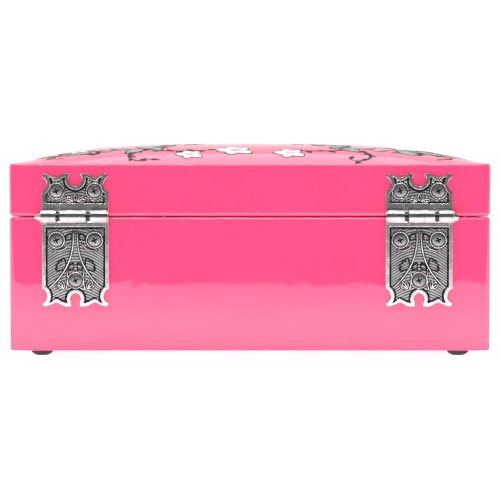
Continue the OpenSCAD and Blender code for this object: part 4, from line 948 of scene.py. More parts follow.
# %% Leaves on the stems
def set_leaves(tree, given):
    curve = add(tree, "GeometryNodeMeshToCurve", {"Mesh": given["Stems"]})
    dots = add(tree, "GeometryNodeCurveToPoints", {"Curve": curve.outputs[0], "Length": given["Spacing"]},
               mode="LENGTH").outputs
    along = add(tree, "FunctionNodeAlignRotationToVector", {"Vector": dots["Tangent"]}, axis="X", pivot_axis="Z")
    odd = maths(tree, "MODULO", add(tree, "GeometryNodeInputIndex").outputs[0], 2.0)
    side = maths(tree, "MULTIPLY_ADD", maths(tree, "MULTIPLY", odd, given["Alternate"]), 2.0, -1.0)
    jitter = add(tree, "FunctionNodeRandomValue", {"Min": 0.75, "Max": 1.2, "Seed": given["Seed"]}).outputs[1]
    angle = maths(tree, "MULTIPLY", maths(tree, "MULTIPLY", side, given["Splay"]), jitter)
    spin = add(tree, "FunctionNodeAxisAngleToRotation", {"Axis": (0, 0, 1), "Angle": angle})
    turned = add(tree, "FunctionNodeRotateRotation", {0: along.outputs[0], 1: spin.outputs[0]},
                 rotation_space="LOCAL")
    pattern = add(tree, "GeometryNodeObjectInfo", {"Object": given["Leaf"]}).outputs["Geometry"]
    leaves = add(tree, "GeometryNodeInstanceOnPoints", {"Points": dots["Points"], "Instance": pattern,
                                                        "Rotation": turned.outputs[0],
                                                        "Scale": maths(tree, "MULTIPLY", jitter, given["Size"])})
    return add(tree, "GeometryNodeRealizeInstances", {0: leaves.outputs[0]}).outputs[0]


# %% [markdown]
# The second half lifts every point onto the dome, by the same two curves as *dome_height*, and gives the paint.

# %% Onto the dome
def fall(tree, value, half, shift=0.0):
    far = maths(tree, "DIVIDE", maths(tree, "ABSOLUTE", maths(tree, "SUBTRACT", value, shift)), half)
    return maths(tree, "SUBTRACT", 1.0, maths(tree, "POWER", maths(tree, "MINIMUM", far, 1.0), DOME_POWER))


def lay_on_dome(tree, leaves, given):
    here = add(tree, "ShaderNodeSeparateXYZ", {0: add(tree, "GeometryNodeInputPosition").outputs[0]}).outputs
    rise = maths(tree, "MULTIPLY", fall(tree, here[0], WIDTH / 2 - EDGE),
                 fall(tree, here[1], DEPTH / 2 - EDGE, Y_MID))
    height = maths(tree, "ADD", maths(tree, "MULTIPLY_ADD", rise, DOME_H, Z_EDGE), given["Lift"])
    place = add(tree, "ShaderNodeCombineXYZ", {0: here[0], 1: here[1], 2: height})
    laid = add(tree, "GeometryNodeSetPosition", {"Geometry": leaves, "Position": place.outputs[0]})
    return add(tree, "GeometryNodeSetMaterial", {"Geometry": laid.outputs[0], "Material": given["Paint"]}).outputs[0]


spray_given = SPRAY.nodes.new("NodeGroupInput").outputs
put(SPRAY.nodes.new("NodeGroupOutput"), {0: lay_on_dome(SPRAY, set_leaves(SPRAY, spray_given), spray_given)})
print("painted_spray:", len(SPRAY.nodes), "nodes")


# %% [markdown]
# The stems go into a carrier mesh that only the nodes see, and what they make of it is kept as a plain mesh.

# %% Spraying
def spray(name, lines, leaf, paint, **inputs):
    """Leaves along lines (in mm) on the dome, kept as a plain mesh that rides on the lid."""
    points, edges = [], []
    for line in lines:
        start = len(points)
        points += [(x * MM, y * MM, 0) for x, y in line]
        edges += [(start + i, start + i + 1) for i in range(len(line) - 1)]
    mesh = bpy.data.meshes.new(name + "_stems")
    mesh.from_pydata(points, edges, [])
    carrier = bpy.data.objects.new(name + "_stems", mesh)
    scene.collection.objects.link(carrier)
    nodes = carrier.modifiers.new("spray", "NODES")
    nodes.node_group = SPRAY
    for label, value in dict(inputs, Leaf=leaf, Paint=paint).items():
        nodes[SPRAY_KEYS[label]] = value
    bpy.context.view_layer.update()
    result = bpy.data.meshes.new_from_object(carrier.evaluated_get(bpy.context.evaluated_depsgraph_get()))
    bpy.data.objects.remove(carrier)
    result.shade_smooth()
    obj = bpy.data.objects.new(name, result)
    scene.collection.objects.link(obj)
    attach(obj, "lid")
    print(name, len(result.polygons), "faces")


# %% [markdown]
# Plain strokes need no nodes: the ribbon is lifted by the dome's own height. A line that comes too near the lid's
# edge is moved back as a whole, so its curve stays as drawn.

# %% Laying strokes
def lay_strokes(name, lines, half, lift, paint):
    points, faces = stroke_mesh(lines, half)
    xy = points[:, :2] * MM
    z = dome_height(xy[:, 0], xy[:, 1] - Y_MID) + lift
    use(new_object(name, np.column_stack([xy, z]), faces, "lid"), paint)
    print(name, len(faces), "faces")


def keep_on_lid(line, margin):
    """The same line, moved as a whole until it stays that many mm inside the lid's edge."""
    line = np.array(line)
    for axis, half in ((0, WIDTH / 2 / MM - margin), (1, DEPTH / 2 / MM - margin)):
        over, under = line[:, axis].max() - half, -half - line[:, axis].min()
        line[:, axis] += -max(0, over) if over > under else max(0, under)
    return line


# %% [markdown]
# The scrolls and leaves mirror each other left and right, as on much painted furniture, and the blossoms lie freely
# among them. Places are in mm and angles in degrees, so the list can be read like a plan.

# %% Layout
tendrils, sprays = [], []
for s in (-1, 1):
    tendrils += [scroll(s * x, y, size, heading + s * lean, turn * s) for x, y, size, heading, lean, turn in [
        (14, 47, 40, 90, -74, -1), (33, 52, 36, 90, -62, 1), (60, 50, 30, 90, -110, 1), (70, 20, 44, 90, -20, 1),
        (66, -34, 46, 270, 30, -1), (20, -44, 48, 270, 70, 1), (26, 6, 34, 90, -50, -1), (12, -8, 30, 270, 70, -1)]]
    sprays += [stem(s * x, y, length, heading + s * lean, s * bend) for x, y, length, heading, lean, bend in [
        (38, 42, 44, 90, -80, -22), (84, 6, 40, 90, 8, 34), (84, -18, 38, 270, -8, -30), (30, -58, 46, 270, 84, 18),
        (18, 18, 30, 90, -66, 40)]]
tendrils = [keep_on_lid(line, 7) for line in tendrils]
sprays = [keep_on_lid(line, 11) for line in sprays]
blossoms = [(-16, 53, 7.5), (6, 48, 9), (24, 55, 6.5), (-62, 32, 8), (64, -8, 8.5), (-48, -48, 9), (44, -52, 7.5),
            (0, -2, 11), (-70, -10, 6.5), (-8, -62, 6.5), (70, 38, 6)]       # x, y, radius
print(len(tendrils), "scrolls,", len(sprays), "leafy stems,", len(blossoms), "blossoms")


# %% [markdown]
# The paint goes on in order: dark scrolls and stems, dark leaf edges, leaves, blossoms and their hearts. Each
# layer lies a few hundredths of a millimetre over the last, so none flickers through another.

# %% Painting
FIRST, SECOND, THIRD, FOURTH, FIFTH = (lift * MM for lift in (0.05, 0.09, 0.11, 0.15, 0.19))
lay_strokes("painted_tendrils", tendrils, 0.85, FIRST, INK)
lay_strokes("painted_stems", sprays, 0.6, FIRST, INK)
spray("painted_curls", tendrils, SMALL_LEAF, INK, Spacing=4.4 * MM, Splay=0.9, Size=1.0, Seed=4, Lift=FIRST)
alike = dict(Spacing=5.2 * MM, Splay=0.75, Size=1.0, Seed=7)
spray("painted_leaf_edges", sprays, DARK_LEAF, INK, Lift=FIRST, **alike)
spray("painted_leaves", sprays, SAGE_LEAF, SAGE, Lift=SECOND, **alike)


# %% [markdown]
# A blossom is five petals round a small circle, which serves as their stem. All blossoms of one size are laid
# together, because the size is an input of the nodes.

# %% Blossoms
PETALS = 5.02              # a little over five, so that rounding never drops the last petal
HEART = 0.16               # radius of the petals' circle as a share of the blossom's
for r in sorted({b[2] for b in blossoms}):
    lines = [loop(x, y, r * HEART, 25) for x, y, radius in blossoms if radius == r]
    alike = dict(Spacing=2 * math.pi * r * HEART / PETALS * MM, Splay=1.57, Alternate=0.0, Size=r / 11, Seed=2)
    spray(f"blossom_edges_{r}", lines, HALO, INK, Lift=THIRD, **alike)
    spray(f"blossoms_{r}", lines, PETAL, PEARL, Lift=FOURTH, **alike)
lay_strokes("blossom_hearts", [stem(x - r * 0.13, y, r * 0.26, 0, 5, 6) for x, y, r in blossoms], 0.9, FIFTH, ROSE)


# %% [markdown]
# ## Velvet-covered boards
# The dividers are thin boards wrapped in velvet, so their edges are round and soft. Each is a rounded box with
# the size of its CAD board. The stage keeps its two openings, which are cut after rounding.

# %% Wrapped boards
LONG_EDGE = 12 * MM        # longer edges are divided, so that the velvet shades evenly


def rounded_box(name, lo, hi, radius, steps=4):
    bm = bmesh.new()
    bmesh.ops.create_cube(bm, size=1.0)
    for v in bm.verts:
        v.co = Vector([(lo[i] + hi[i]) / 2 + v.co[i] * (hi[i] - lo[i]) for i in range(3)])
    bmesh.ops.bevel(bm, geom=bm.edges[:], offset=radius, segments=steps, profile=0.5, affect="EDGES")
    long_edges = [e for e in bm.edges if e.calc_length() > LONG_EDGE]
    bmesh.ops.subdivide_edges(bm, edges=long_edges, cuts=7, use_grid_fill=True)
    mesh = bpy.data.meshes.new(name)
    bm.to_mesh(mesh)
    bm.free()
    mesh.shade_smooth()
    return mesh


def wrapped_board(name, radius=0.8 * MM):
    obj = bpy.data.objects.new(name + "_velvet", rounded_box(name, *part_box(name), radius))
    scene.collection.objects.link(obj)
    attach(obj, "case")
    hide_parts(name)
    return use(obj, VELVET)


for board in ("divider_main", "divider_ring", "divider_back", "deck_riser"):
    print(board, len(wrapped_board(board).data.polygons), "faces")
deck = wrapped_board("stage_deck", 0.6 * MM)


# %% [markdown]
# The stage has a round hole for the spindle and a slot for the stop wire. Both are cut with an exact boolean, and
# the level faces are shaded flat afterwards, because their corners no longer sit in a regular grid.

# %% Openings
def cut_through(obj, outline):
    """Opening through obj along Z; outline goes round it counter-clockwise."""
    heights = [v.co.z for v in obj.data.vertices]
    points = [(x, y, z) for z in (min(heights) - 2 * MM, max(heights) + 2 * MM) for x, y in outline]
    faces = quads(2, len(outline)) + caps(2, len(outline))
    cutter = face_outward(new_object("cutter", points, faces, None))
    cut = obj.modifiers.new("cut", "BOOLEAN")
    cut.operation, cut.object, cut.solver = "DIFFERENCE", cutter, "EXACT"
    bpy.context.view_layer.update()
    done = bpy.data.meshes.new_from_object(obj.evaluated_get(bpy.context.evaluated_depsgraph_get()))
    obj.modifiers.clear()
    obj.data = done
    for face in done.polygons:
        face.use_smooth = abs(face.normal.z) < 0.99
    use(obj, VELVET)
    bpy.data.objects.remove(cutter)


spindle_lo, spindle_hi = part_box("spindle")
SPINDLE = ((spindle_lo.x + spindle_hi.x) / 2, (spindle_lo.y + spindle_hi.y) / 2)
HOLE = 2.3 * MM            # radius
cut_through(deck, [(SPINDLE[0] + HOLE * math.cos(a), SPINDLE[1] + HOLE * math.sin(a)) for a in around(32)])
wire = [v.co for v in bpy.data.objects["stop_lever"].data.vertices if v.co.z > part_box("stage_deck")[1].z]
wire_x, wire_y = sum(v.x for v in wire) / len(wire), sum(v.y for v in wire) / len(wire)
SLOT = [(-1, -3.8), (1, -3.8), (1, 1), (-1, 1)]      # mm from the wire, which swings towards -Y
cut_through(deck, [(wire_x + x * MM, wire_y + y * MM) for x, y in SLOT])
print("the deck has", len(deck.data.polygons), "faces")


# %% [markdown]
# ## Padding
# Foam under velvet swells most in the middle and is pulled thin where the cloth is folded under. The pads and the
# lid's lining share one surface, a height over a grid, with closer points near the edges.

# %% Padding
FOLD = 2.2 * MM            # how far from the edge the cloth is pulled down
FLAT = 0.12                # share of a pad's thickness that is left where it is pulled down
THIN = 0.45                # share of the height at the corners of a plain pad


def spaced(lo, hi, n):
    eased = (1 - np.cos(np.linspace(0, math.pi, n + 1))) / 2
    return lo + (hi - lo) * (0.35 * eased + 0.65 * np.linspace(0, 1, n + 1))


def pulled_down(far, length):
    """Share of the height beside an edge; far is 0 in the middle and 1 at the edge."""
    inward = np.clip((1 - far) * length / 2 / FOLD, 0, 1)
    return np.sqrt(1 - (1 - inward) ** 2)


def pad_mesh(name, lo, hi, body, node, up=1, rows=60, puff=None, material=VELVET):
    """Pad between two corners; up = -1 hangs it from its upper face. puff gives the share of height at (x, y)."""
    wide, deep, thick = (hi[i] - lo[i] for i in range(3))
    nx, ny = (max(8, int(rows * size / max(wide, deep))) for size in (wide, deep))
    X, Y = np.meshgrid(spaced(lo.x, hi.x, nx), spaced(lo.y, hi.y, ny), indexing="ij")
    u, v = np.abs(2 * (X - lo.x) / wide - 1), np.abs(2 * (Y - lo.y) / deep - 1)
    share = pulled_down(u, wide) * pulled_down(v, deep)
    share = share * (puff(X, Y) if puff else 1 - (1 - THIN) * (u ** 4 + v ** 4) / 2)
    floor = lo.z if up > 0 else hi.z
    points = [(x, y, floor + up * thick * (FLAT + (1 - FLAT) * s)) for x, y, s in zip(X.flat, Y.flat, share.flat)]
    points += [(x, y, floor) for x, y in zip(X.flat, Y.flat)]
    w, n = ny + 1, (nx + 1) * (ny + 1)
    faces = quads(nx + 1, w, wrap=False) + quads(nx + 1, w, wrap=False, start=n)
    edge = [i * w for i in range(nx)] + [nx * w + j for j in range(ny)]
    edge += [i * w + ny for i in range(nx, 0, -1)] + list(range(ny, 0, -1))
    faces += [(a, b, b + n, a + n) for a, b in zip(edge, edge[1:] + edge[:1])]
    obj = face_outward(new_object(name, points, faces, body, [node]))
    return use(obj, material)


# %% [markdown]
# The CAD model keeps all floor pads in one node. They are found again as separate solids by walking from point to
# point along the edges, and each gets its own pad.

# %% Floor pads
def walk_from(left, first):
    """Points joined to the first one by edges; they are taken out of left."""
    stack, part = [first], []
    while stack:
        v = stack.pop()
        part.append(v.co.copy())
        for other in (e.other_vert(v) for e in v.link_edges):
            if other in left:
                left.remove(other)
                stack.append(other)
    return part


def solids_of(name):
    """Corners of each separate solid in a CAD node."""
    bm = bmesh.new()
    bm.from_mesh(bpy.data.objects[name].data)
    bmesh.ops.remove_doubles(bm, verts=bm.verts, dist=WELD)
    left, found = set(bm.verts), []
    while left:
        part = walk_from(left, left.pop())
        found.append([Vector([pick(p[i] for p in part) for i in range(3)]) for pick in (min, max)])
    bm.free()
    return sorted(found, key=lambda corners: tuple(corners[0]))


for i, (lo, hi) in enumerate(solids_of("compartment_pads")):
    pad_mesh(f"floor_pad_{i + 1}", lo, hi, "case", "compartment_pads")
    print(f"floor pad {i + 1}: {(hi.x - lo.x) / MM:.1f} x {(hi.y - lo.y) / MM:.1f} mm")


# %% [markdown]
# Rings are held between rolls of foam. A roll is a round-topped bar whose cloth is pulled in at both ends, and
# slightly uneven along it.

# %% Ring rolls
TURN = 6.28                # radians in a turn, close enough for waves
ROLL_END = 1.6 * MM        # length over which an end is pulled in


def ring_roll(name, lo, hi, starts, sides=14, cuts=54):
    """Roll between two corners; starts are the two places where its slow waves begin."""
    r, length, middle, points = (hi.y - lo.y) / 2, hi.x - lo.x, (lo.y + hi.y) / 2, []
    shoulder = hi.z - r
    for t in (c / cuts for c in range(cuts + 1)):
        end = math.sqrt(max(0.0, 1 - max(0, 1 - min(t, 1 - t) * length / ROLL_END) ** 2))
        pull = 1 - 0.012 * math.sin(9 * t * TURN + starts[0]) - 0.01 * math.sin(23 * t * TURN + starts[1])
        wide, high = r * (0.82 + 0.18 * end) * pull, r * (0.8 + 0.2 * end) * pull
        side = [(wide, lo.z), (wide, (lo.z + shoulder) / 2), (wide, shoulder)]
        top = [(-wide * math.cos(a), shoulder + high * math.sin(a)) for a in np.linspace(0, math.pi, sides + 1)[1:-1]]
        section = [(-y, z) for y, z in side] + top + side[::-1]
        points += [(lo.x + length * t, middle + y, z) for y, z in section]
    faces = quads(cuts + 1, len(section)) + caps(cuts + 1, len(section))
    roll = face_outward(new_object(name, points, faces, "case", ["ring_rolls"]))
    return use(roll, VELVET)


rng = np.random.default_rng(11)
for i, (lo, hi) in enumerate(solids_of("ring_rolls")):
    roll = ring_roll(f"ring_roll_{i + 1}", lo, hi, rng.uniform(0, TURN, 3))
    print(roll.name, len(roll.data.polygons), "faces")


# %% [markdown]
# The lining is quilted in diamonds. The height over the grid falls to the stitch line, by a square root, which
# gives the steep dip at the thread and the full swell between. Under the mirror it is pressed flat.

# %% Quilted lining
mirror_lo, mirror_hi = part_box("lid_mirror")
DIAMOND = 15 * MM
DIP = 2.6 * MM             # how far from the thread the cloth dips
UNDER = 1 * MM             # how far in from the mirror's edge the lining is pressed flat


def quilt(X, Y):
    across = Y - Y_MID
    a, b = ((X + across) / DIAMOND) % 1.0, ((X - across) / DIAMOND) % 1.0
    stitch = np.minimum(np.minimum(a, 1 - a), np.minimum(b, 1 - b)) * DIAMOND
    under = (np.abs(X) < mirror_hi.x - UNDER) & (np.abs(across) < (mirror_hi.y - mirror_lo.y) / 2 - UNDER)
    return np.where(under, 0.97, 0.45 + 0.55 * np.clip(stitch / DIP, 0, 1) ** 0.5)


lining = pad_mesh("quilted_lining", *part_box("lid_lining"), "lid", "lid_lining", -1, 230, quilt,
                  make_velvet("blush_velvet", (0.62, 0.16, 0.24), (1.0, 0.75, 0.82)))
print("lining:", len(lining.data.polygons), "faces")


# %% [markdown]
# ## Mirror
# The glass has a ground bevel round its edge. It's a front face with four slopes, and a little dust on it.

# %% Mirror
def make_mirror():
    material, tree, shader = start_material("mirror_glass")
    dust = effect(tree, MOTTLE, Scale=900.0, Low=0.01, High=0.09)
    cloud = effect(tree, MOTTLE, Scale=40.0, Low=0.95, High=1.03)
    put(shader, {"Base Color": tinted(tree, (0.86, 0.885, 0.88), cloud["Value"]), "Roughness": dust["Value"],
                 "Metallic": 1.0})
    return material


BEVEL, DROP = 7 * MM, 0.75 * MM
lo, hi = mirror_lo, mirror_hi
points = []
for inset, z in [(0, hi.z), (0, lo.z + DROP), (BEVEL, lo.z), (BEVEL + HOLD, lo.z)]:
    left, right, front, back = lo.x + inset, hi.x - inset, lo.y + inset, hi.y - inset
    points += [(left, front, z), (right, front, z), (right, back, z), (left, back, z)]
faces = quads(4, 4) + caps(4, 4)
mirror = face_outward(new_object("bevelled_mirror", points, faces, "lid", ["lid_mirror"], smooth=False))
use(mirror, make_mirror())
print("mirror", round((hi.x - lo.x) / MM), "x", round((hi.y - lo.y) / MM), "mm")


# %% [markdown]
# ## The coil that carries the dancer
# A closely wound wire follows a quarter circle while the lid is shut. Its foot stays on the drive and its head
# goes with the dancer.

# %% Tubes
def sweep_tube(points, radii, sides=8):
    """Points and faces of a closed tube along a line, with the frame carried from point to point."""
    line = [Vector(p) for p in points]
    radii = list(radii) if hasattr(radii, "__len__") else [radii] * len(line)
    across = (line[1] - line[0]).orthogonal().normalized()
    made = []
    for i, p in enumerate(line):
        run = (line[min(i + 1, len(line) - 1)] - line[max(i - 1, 0)]).normalized()
        across = (across - run * across.dot(run)).normalized()
        up = run.cross(across)
        made += [p + (across * math.cos(a) + up * math.sin(a)) * radii[i] for a in around(sides)]
    return made, quads(len(line), sides) + caps(len(line), sides)


# %% [markdown]
# The wire runs round a small circle that itself travels along the quarter circle, once per turn. A curve with a
# bevel would do too; here it is a swept mesh.

# %% The coil
COIL_FOOT = 39 * MM        # height


def make_spring(turns=13, coil=2.3 * MM, wire=0.3 * MM, bend=10 * MM):
    x, y = SPINDLE
    line = []
    for t in np.linspace(0, 1, turns * 22 + 1):
        q, a = t * math.pi / 2, t * turns * 2 * math.pi
        out = Vector((0, math.cos(q), math.sin(q))) * (bend + coil * math.cos(a))
        line.append(Vector((x + coil * math.sin(a), y - bend, COIL_FOOT)) + out)
    spring = new_object("dancer_coil", *sweep_tube(line, wire), None, ["dancer_spring"])
    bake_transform(spring)
    return use(face_outward(spring), SPRING)


coil = make_spring()
print("coil:", len(coil.data.polygons), "faces")


# %% [markdown]
# ## The dancer
# She is 46 mm tall and lies face down under the shut lid. Her own frame has Z along her height and -Y before her
# face; *stand* turns that into the frame of the box. Limbs and body are lofted through a few named widths, and the
# face is a plain, calm one: two closed lids, brows and a small mouth.

# %% Her frame
figure_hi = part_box("dancer_figure")[1]
DANCER = Vector((SPINDLE[0], figure_hi.y, figure_hi.z))
FACE_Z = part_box("dancer_stem")[0].z / 2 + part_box("dancer_stem")[1].z / 2
LEFT_RIGHT = ((-1, "left"), (1, "right"))


def stand(x, y, z):
    return (DANCER.x + x * MM, DANCER.y - z * MM, FACE_Z + y * MM)


def smooth_line(knots, steps):
    """Catmull-Rom line through rows of numbers."""
    k = np.array([knots[0], *knots, knots[-1]], float)
    out = []
    for i in range(1, len(k) - 2):
        a, b, c, d = k[i - 1:i + 3]
        for t in np.linspace(0, 1, steps, endpoint=False):
            square, cube = 2 * a - 5 * b + 4 * c - d, 3 * b - a - 3 * c + d
            out.append(0.5 * (2 * b + (c - a) * t + square * t * t + cube * t ** 3))
    return np.array(out + [k[-2]])


# %% [markdown]
# A moulded figure has soft, closed forms. They are lofted here through level rings: each row gives a width and a
# depth, and a shape function bends the ring, which is how one loft makes two legs that touch.

# %% Lofts
LOFT_SIDES = 40


def loft(rows, shape):
    """Skin through level rings; rows hold (z, width, depth, shift), shape bends each ring at angle a."""
    points = []
    for z, wide, deep, shift in rows:
        for a in around(LOFT_SIDES):
            f = shape(z, a)
            points.append(stand(wide * math.cos(a) * f, deep * math.sin(a) * f + shift, z))
    return points, quads(len(rows), LOFT_SIDES) + [cap[::-1] for cap in caps(len(rows), LOFT_SIDES)]


def doll_part(name, points, faces, material, replaced=()):
    piece = face_outward(new_object(name, points, faces, "dancer", replaced))
    return use(piece, material)


def legs_apart(z, a):
    """Groove between the legs, deepest at the calves."""
    deep = 0.34 * min(1, max(0, z - 0.8) / 2) * min(1, max(0, (20.5 - z) / 3))
    return 1 - deep * abs(math.sin(a)) ** 9


# %% [markdown]
# The figure is moulded in plastic and painted by hand. The skin lets a little light in, the costume is satin, and
# the hair has strands in its bump.

# %% Doll materials
SKIN = make_plain("doll_skin", (0.86, 0.56, 0.43), 0.38, 900.0, 0.04, 0.95, 1.04)
put(SKIN.node_tree.nodes["Principled BSDF"], {"Subsurface Weight": 0.12, "Subsurface Scale": 0.8 * MM})
SATIN = make_plain("rose_satin", (0.9, 0.42, 0.52), 0.3, 2600.0, 0.12, 0.9, 1.08, (1, 1, 0.2), 0.4)
HAIR = make_plain("painted_hair", (0.095, 0.036, 0.018), 0.36, 1500.0, 0.55, 0.7, 1.35, (1, 0.12, 0.3))
FEATURE = make_plain("painted_lashes", (0.045, 0.022, 0.018), 0.4, 900.0, 0.05)
LIP = make_plain("painted_lips", (0.66, 0.09, 0.13), 0.33, 900.0, 0.05)
BLUSH = make_plain("painted_blush", (0.88, 0.42, 0.36), 0.42, 900.0, 0.05)
print("doll materials:", ", ".join(m.name for m in (SKIN, SATIN, HAIR, FEATURE, LIP, BLUSH)))


# %% [markdown]
# Twenty widths from toe to neck are enough for a body of this size. The line through them is smoothed first, so
# the calves and the waist have no corners.

# %% Body
body_rows = smooth_line([
    (0.1, 0.75, 0.6, 0), (1.2, 1.1, 0.85, 0), (3, 1.2, 0.95, 0.05), (4.6, 0.95, 0.8, 0.1), (7, 1.4, 1.15, 0.2),
    (9.5, 1.75, 1.45, 0.3), (12, 1.5, 1.2, 0.1), (14, 1.38, 1.15, -0.1), (17, 1.72, 1.45, 0), (20, 2.05, 1.75, 0.1),
    (21.6, 2.3, 1.95, 0.15), (23.4, 2.05, 1.65, 0.05), (26, 1.6, 1.25, -0.05), (28.6, 2.1, 1.5, -0.15),
    (30.2, 2.3, 1.5, -0.1), (31.6, 2.35, 1.15, 0), (32.4, 1.6, 0.95, 0.05), (33.1, 0.9, 0.85, 0.1),
    (34.2, 0.76, 0.76, 0), (35.6, 0.85, 0.85, -0.1)], 6)       # z, width, depth, shift in mm
doll_part("dancer_body", *loft(body_rows, legs_apart), SKIN, ["dancer_figure"])
print("body lofted through", len(body_rows), "rings")


# %% [markdown]
# The bodice is the same loft, a tenth of a millimetre larger. Its upper edge is cut lower under the arms and at the
# middle of the chest.

# %% Bodice
bodice_rows = [row + (0, 0.1, 0.1, 0) for row in body_rows if 20.6 < row[0] < 30.9]
points, faces = loft(bodice_rows, lambda z, a: 1)
points = np.array(points).reshape(len(bodice_rows), LOFT_SIDES, 3)
for k, a in enumerate(around(LOFT_SIDES)):
    dip = 0.75 * (0.5 + 0.5 * math.cos(2 * a)) + (0.55 if abs(math.sin(a)) > 0.97 else 0)
    points[-4:, k, 1] += dip * MM * np.arange(1, 5) / 4
bodice = doll_part("dancer_bodice", points.reshape(-1, 3), faces, SATIN)
print("bodice:", len(bodice.data.polygons), "faces")


# %% [markdown]
# Both arms are raised in a ring over the head. They are tapering tubes, and a strap runs over each shoulder.

# %% Arms and straps
ARM = [(1.9, 0.0, 31.2, 0.8), (3.6, -0.6, 33.2, 0.68), (4.85, -1.3, 36.4, 0.55), (4.5, -1.6, 39.6, 0.55),
       (3.3, -1.7, 42.8, 0.4), (2.5, -1.72, 44.0, 0.36), (1.7, -1.7, 45.0, 0.34), (0.75, -1.7, 45.55, 0.12)]
STRAP = [(1.15, -1.52, 29.6), (1.35, -1.3, 31.0), (1.5, -0.35, 32.2), (1.4, 0.75, 31.4), (1.1, 1.3, 29.8)]
for s, label in LEFT_RIGHT:
    arm = smooth_line([(s * x, *rest) for x, *rest in ARM], 7)
    doll_part("dancer_arm_" + label, *sweep_tube([stand(*p[:3]) for p in arm], [p[3] * MM for p in arm], 14), SKIN)
    strap = smooth_line([(s * x, *rest) for x, *rest in STRAP], 6)
    doll_part("bodice_strap_" + label, *sweep_tube([stand(*p) for p in strap], 0.17 * MM, 8), SATIN)
    print(label, "arm and strap:", len(arm), "and", len(strap), "rings")


# %% [markdown]
# The head is a ball whose radius changes with the direction: narrower at the temples, fuller at the nose and the
# chin, hollow at the eyes. Everything on the head is laid with the same function, so it fits.

# %% Head shape
HEAD_R, HEAD_Z = 2.12, 37.35                # mm
FACE = -90                                  # degrees round the head at which the face looks out


def swell(a, e, at, above, wide, high):
    """Smooth bump of height 1 that is centred at an angle round the head and one above level."""
    return math.exp(-((math.degrees(a) - at) / wide) ** 2 - ((math.degrees(e) - above) / high) ** 2)


def head_radius(a, e):
    """Distance from the head's middle at angle a round it and e above level."""
    front = max(0, -math.sin(a)) * math.cos(e)
    r = HEAD_R * (1 - 0.10 * abs(math.cos(a)) * math.cos(e)) * (1 + 0.05 * math.sin(e))
    r *= 1 - 0.14 * max(0, -math.sin(e)) ** 1.5 * (1 - 0.8 * front)
    sockets = sum(swell(a, e, FACE - s * 22, 3, 11, 8) for s in (-1, 1))
    return r + 0.24 * swell(a, e, FACE, -9, 7, 9) - 0.1 * sockets + 0.14 * swell(a, e, FACE, -46, 16, 12)


def on_head(a, e, lift=0.0):
    r = head_radius(a, e) + lift
    return stand(r * math.cos(a) * math.cos(e), r * math.sin(a) * math.cos(e), HEAD_Z + r * math.sin(e))


print("the nose stands out to", round(head_radius(math.radians(FACE), math.radians(-9)), 2), "mm")


# %% [markdown]
# A patch is a thin shell over part of the head: an outer layer that follows the head with its own thickness, an
# inner one a little under the surface, and walls between them where the patch ends.

# %% Patches on the head
SUNK = -0.12               # mm, where the inner layer lies


def patch_faces(share, closed):
    """Faces of both layers and of the walls round every cell where the patch has thickness."""
    nx, ny = share.shape[0] - 1, share.shape[1] - 1
    w, total = ny + 1, (nx + 1) * (ny + 1)
    used, faces = {(i, j) for i in range(nx) for j in range(ny) if share[i:i + 2, j:j + 2].max() > 0}, []
    for i, j in used:
        a, b, c, d = i * w + j, (i + 1) * w + j, (i + 1) * w + j + 1, i * w + j + 1
        faces += [(a + total, b + total, c + total, d + total), (a, d, c, b)]
        for (p, q), (di, dj) in (((a, b), (0, -1)), ((b, c), (1, 0)), ((c, d), (0, 1)), ((d, a), (-1, 0))):
            seam = closed and i + di in (-1, nx)
            if (i + di, j + dj) not in used and not seam:
                faces.append((p, q, q + total, p + total))
    return faces


def head_patch(name, keep, lift, material, low=-89, high=89, round_a=(-180, 180), n=(96, 64)):
    """Closed shell over part of the head; keep(a, e) gives its thickness share, 0 outside it."""
    angles, heights = (np.radians(np.linspace(*ends, cells + 1)) for ends, cells in zip((round_a, (low, high)), n))
    share = np.array([[keep(math.degrees(a), math.degrees(e)) for e in heights] for a in angles])
    points = [on_head(a, e, SUNK) for a in angles for e in heights]
    points += [on_head(a, e, lift * share[i, j]) for i, a in enumerate(angles) for j, e in enumerate(heights)]
    faces = patch_faces(share, round_a[1] - round_a[0] == 360)
    kept = sorted({p for face in faces for p in face})
    order = {p: k for k, p in enumerate(kept)}
    return doll_part(name, [points[p] for p in kept], [[order[p] for p in face] for face in faces], material)


# %% [markdown]
# Each feature is a function of the two angles, in degrees, that gives its thickness, from 0 outside it to 1 at
# its fullest.

# %% Shapes of the features
def ellipse(a0, e0, wide, high):
    return lambda a, e: max(0.0, 1 - ((a - a0) / wide) ** 2 - ((e - e0) / high) ** 2) ** 0.5


def arch(a0, e0, wide, thick, rise):
    def share(a, e):
        middle = e0 + rise * (1 - ((a - a0) / wide) ** 2)
        return 1.0 if abs(a - a0) < wide and abs(e - middle) < thick else 0.0
    return share


def hairline(a, e):
    edge = 34 - 46 * max(0, math.sin(math.radians(a))) - 26 * abs(math.cos(math.radians(a))) ** 3
    return min(1.0, max(0.0, (e - edge) / 9)) ** 0.5


# %% [markdown]
# The face is small and calm. The eyes are closed arcs, as painted lashes are, with brows over them, and the cheeks
# and mouth have a soft edge because their thickness falls off.

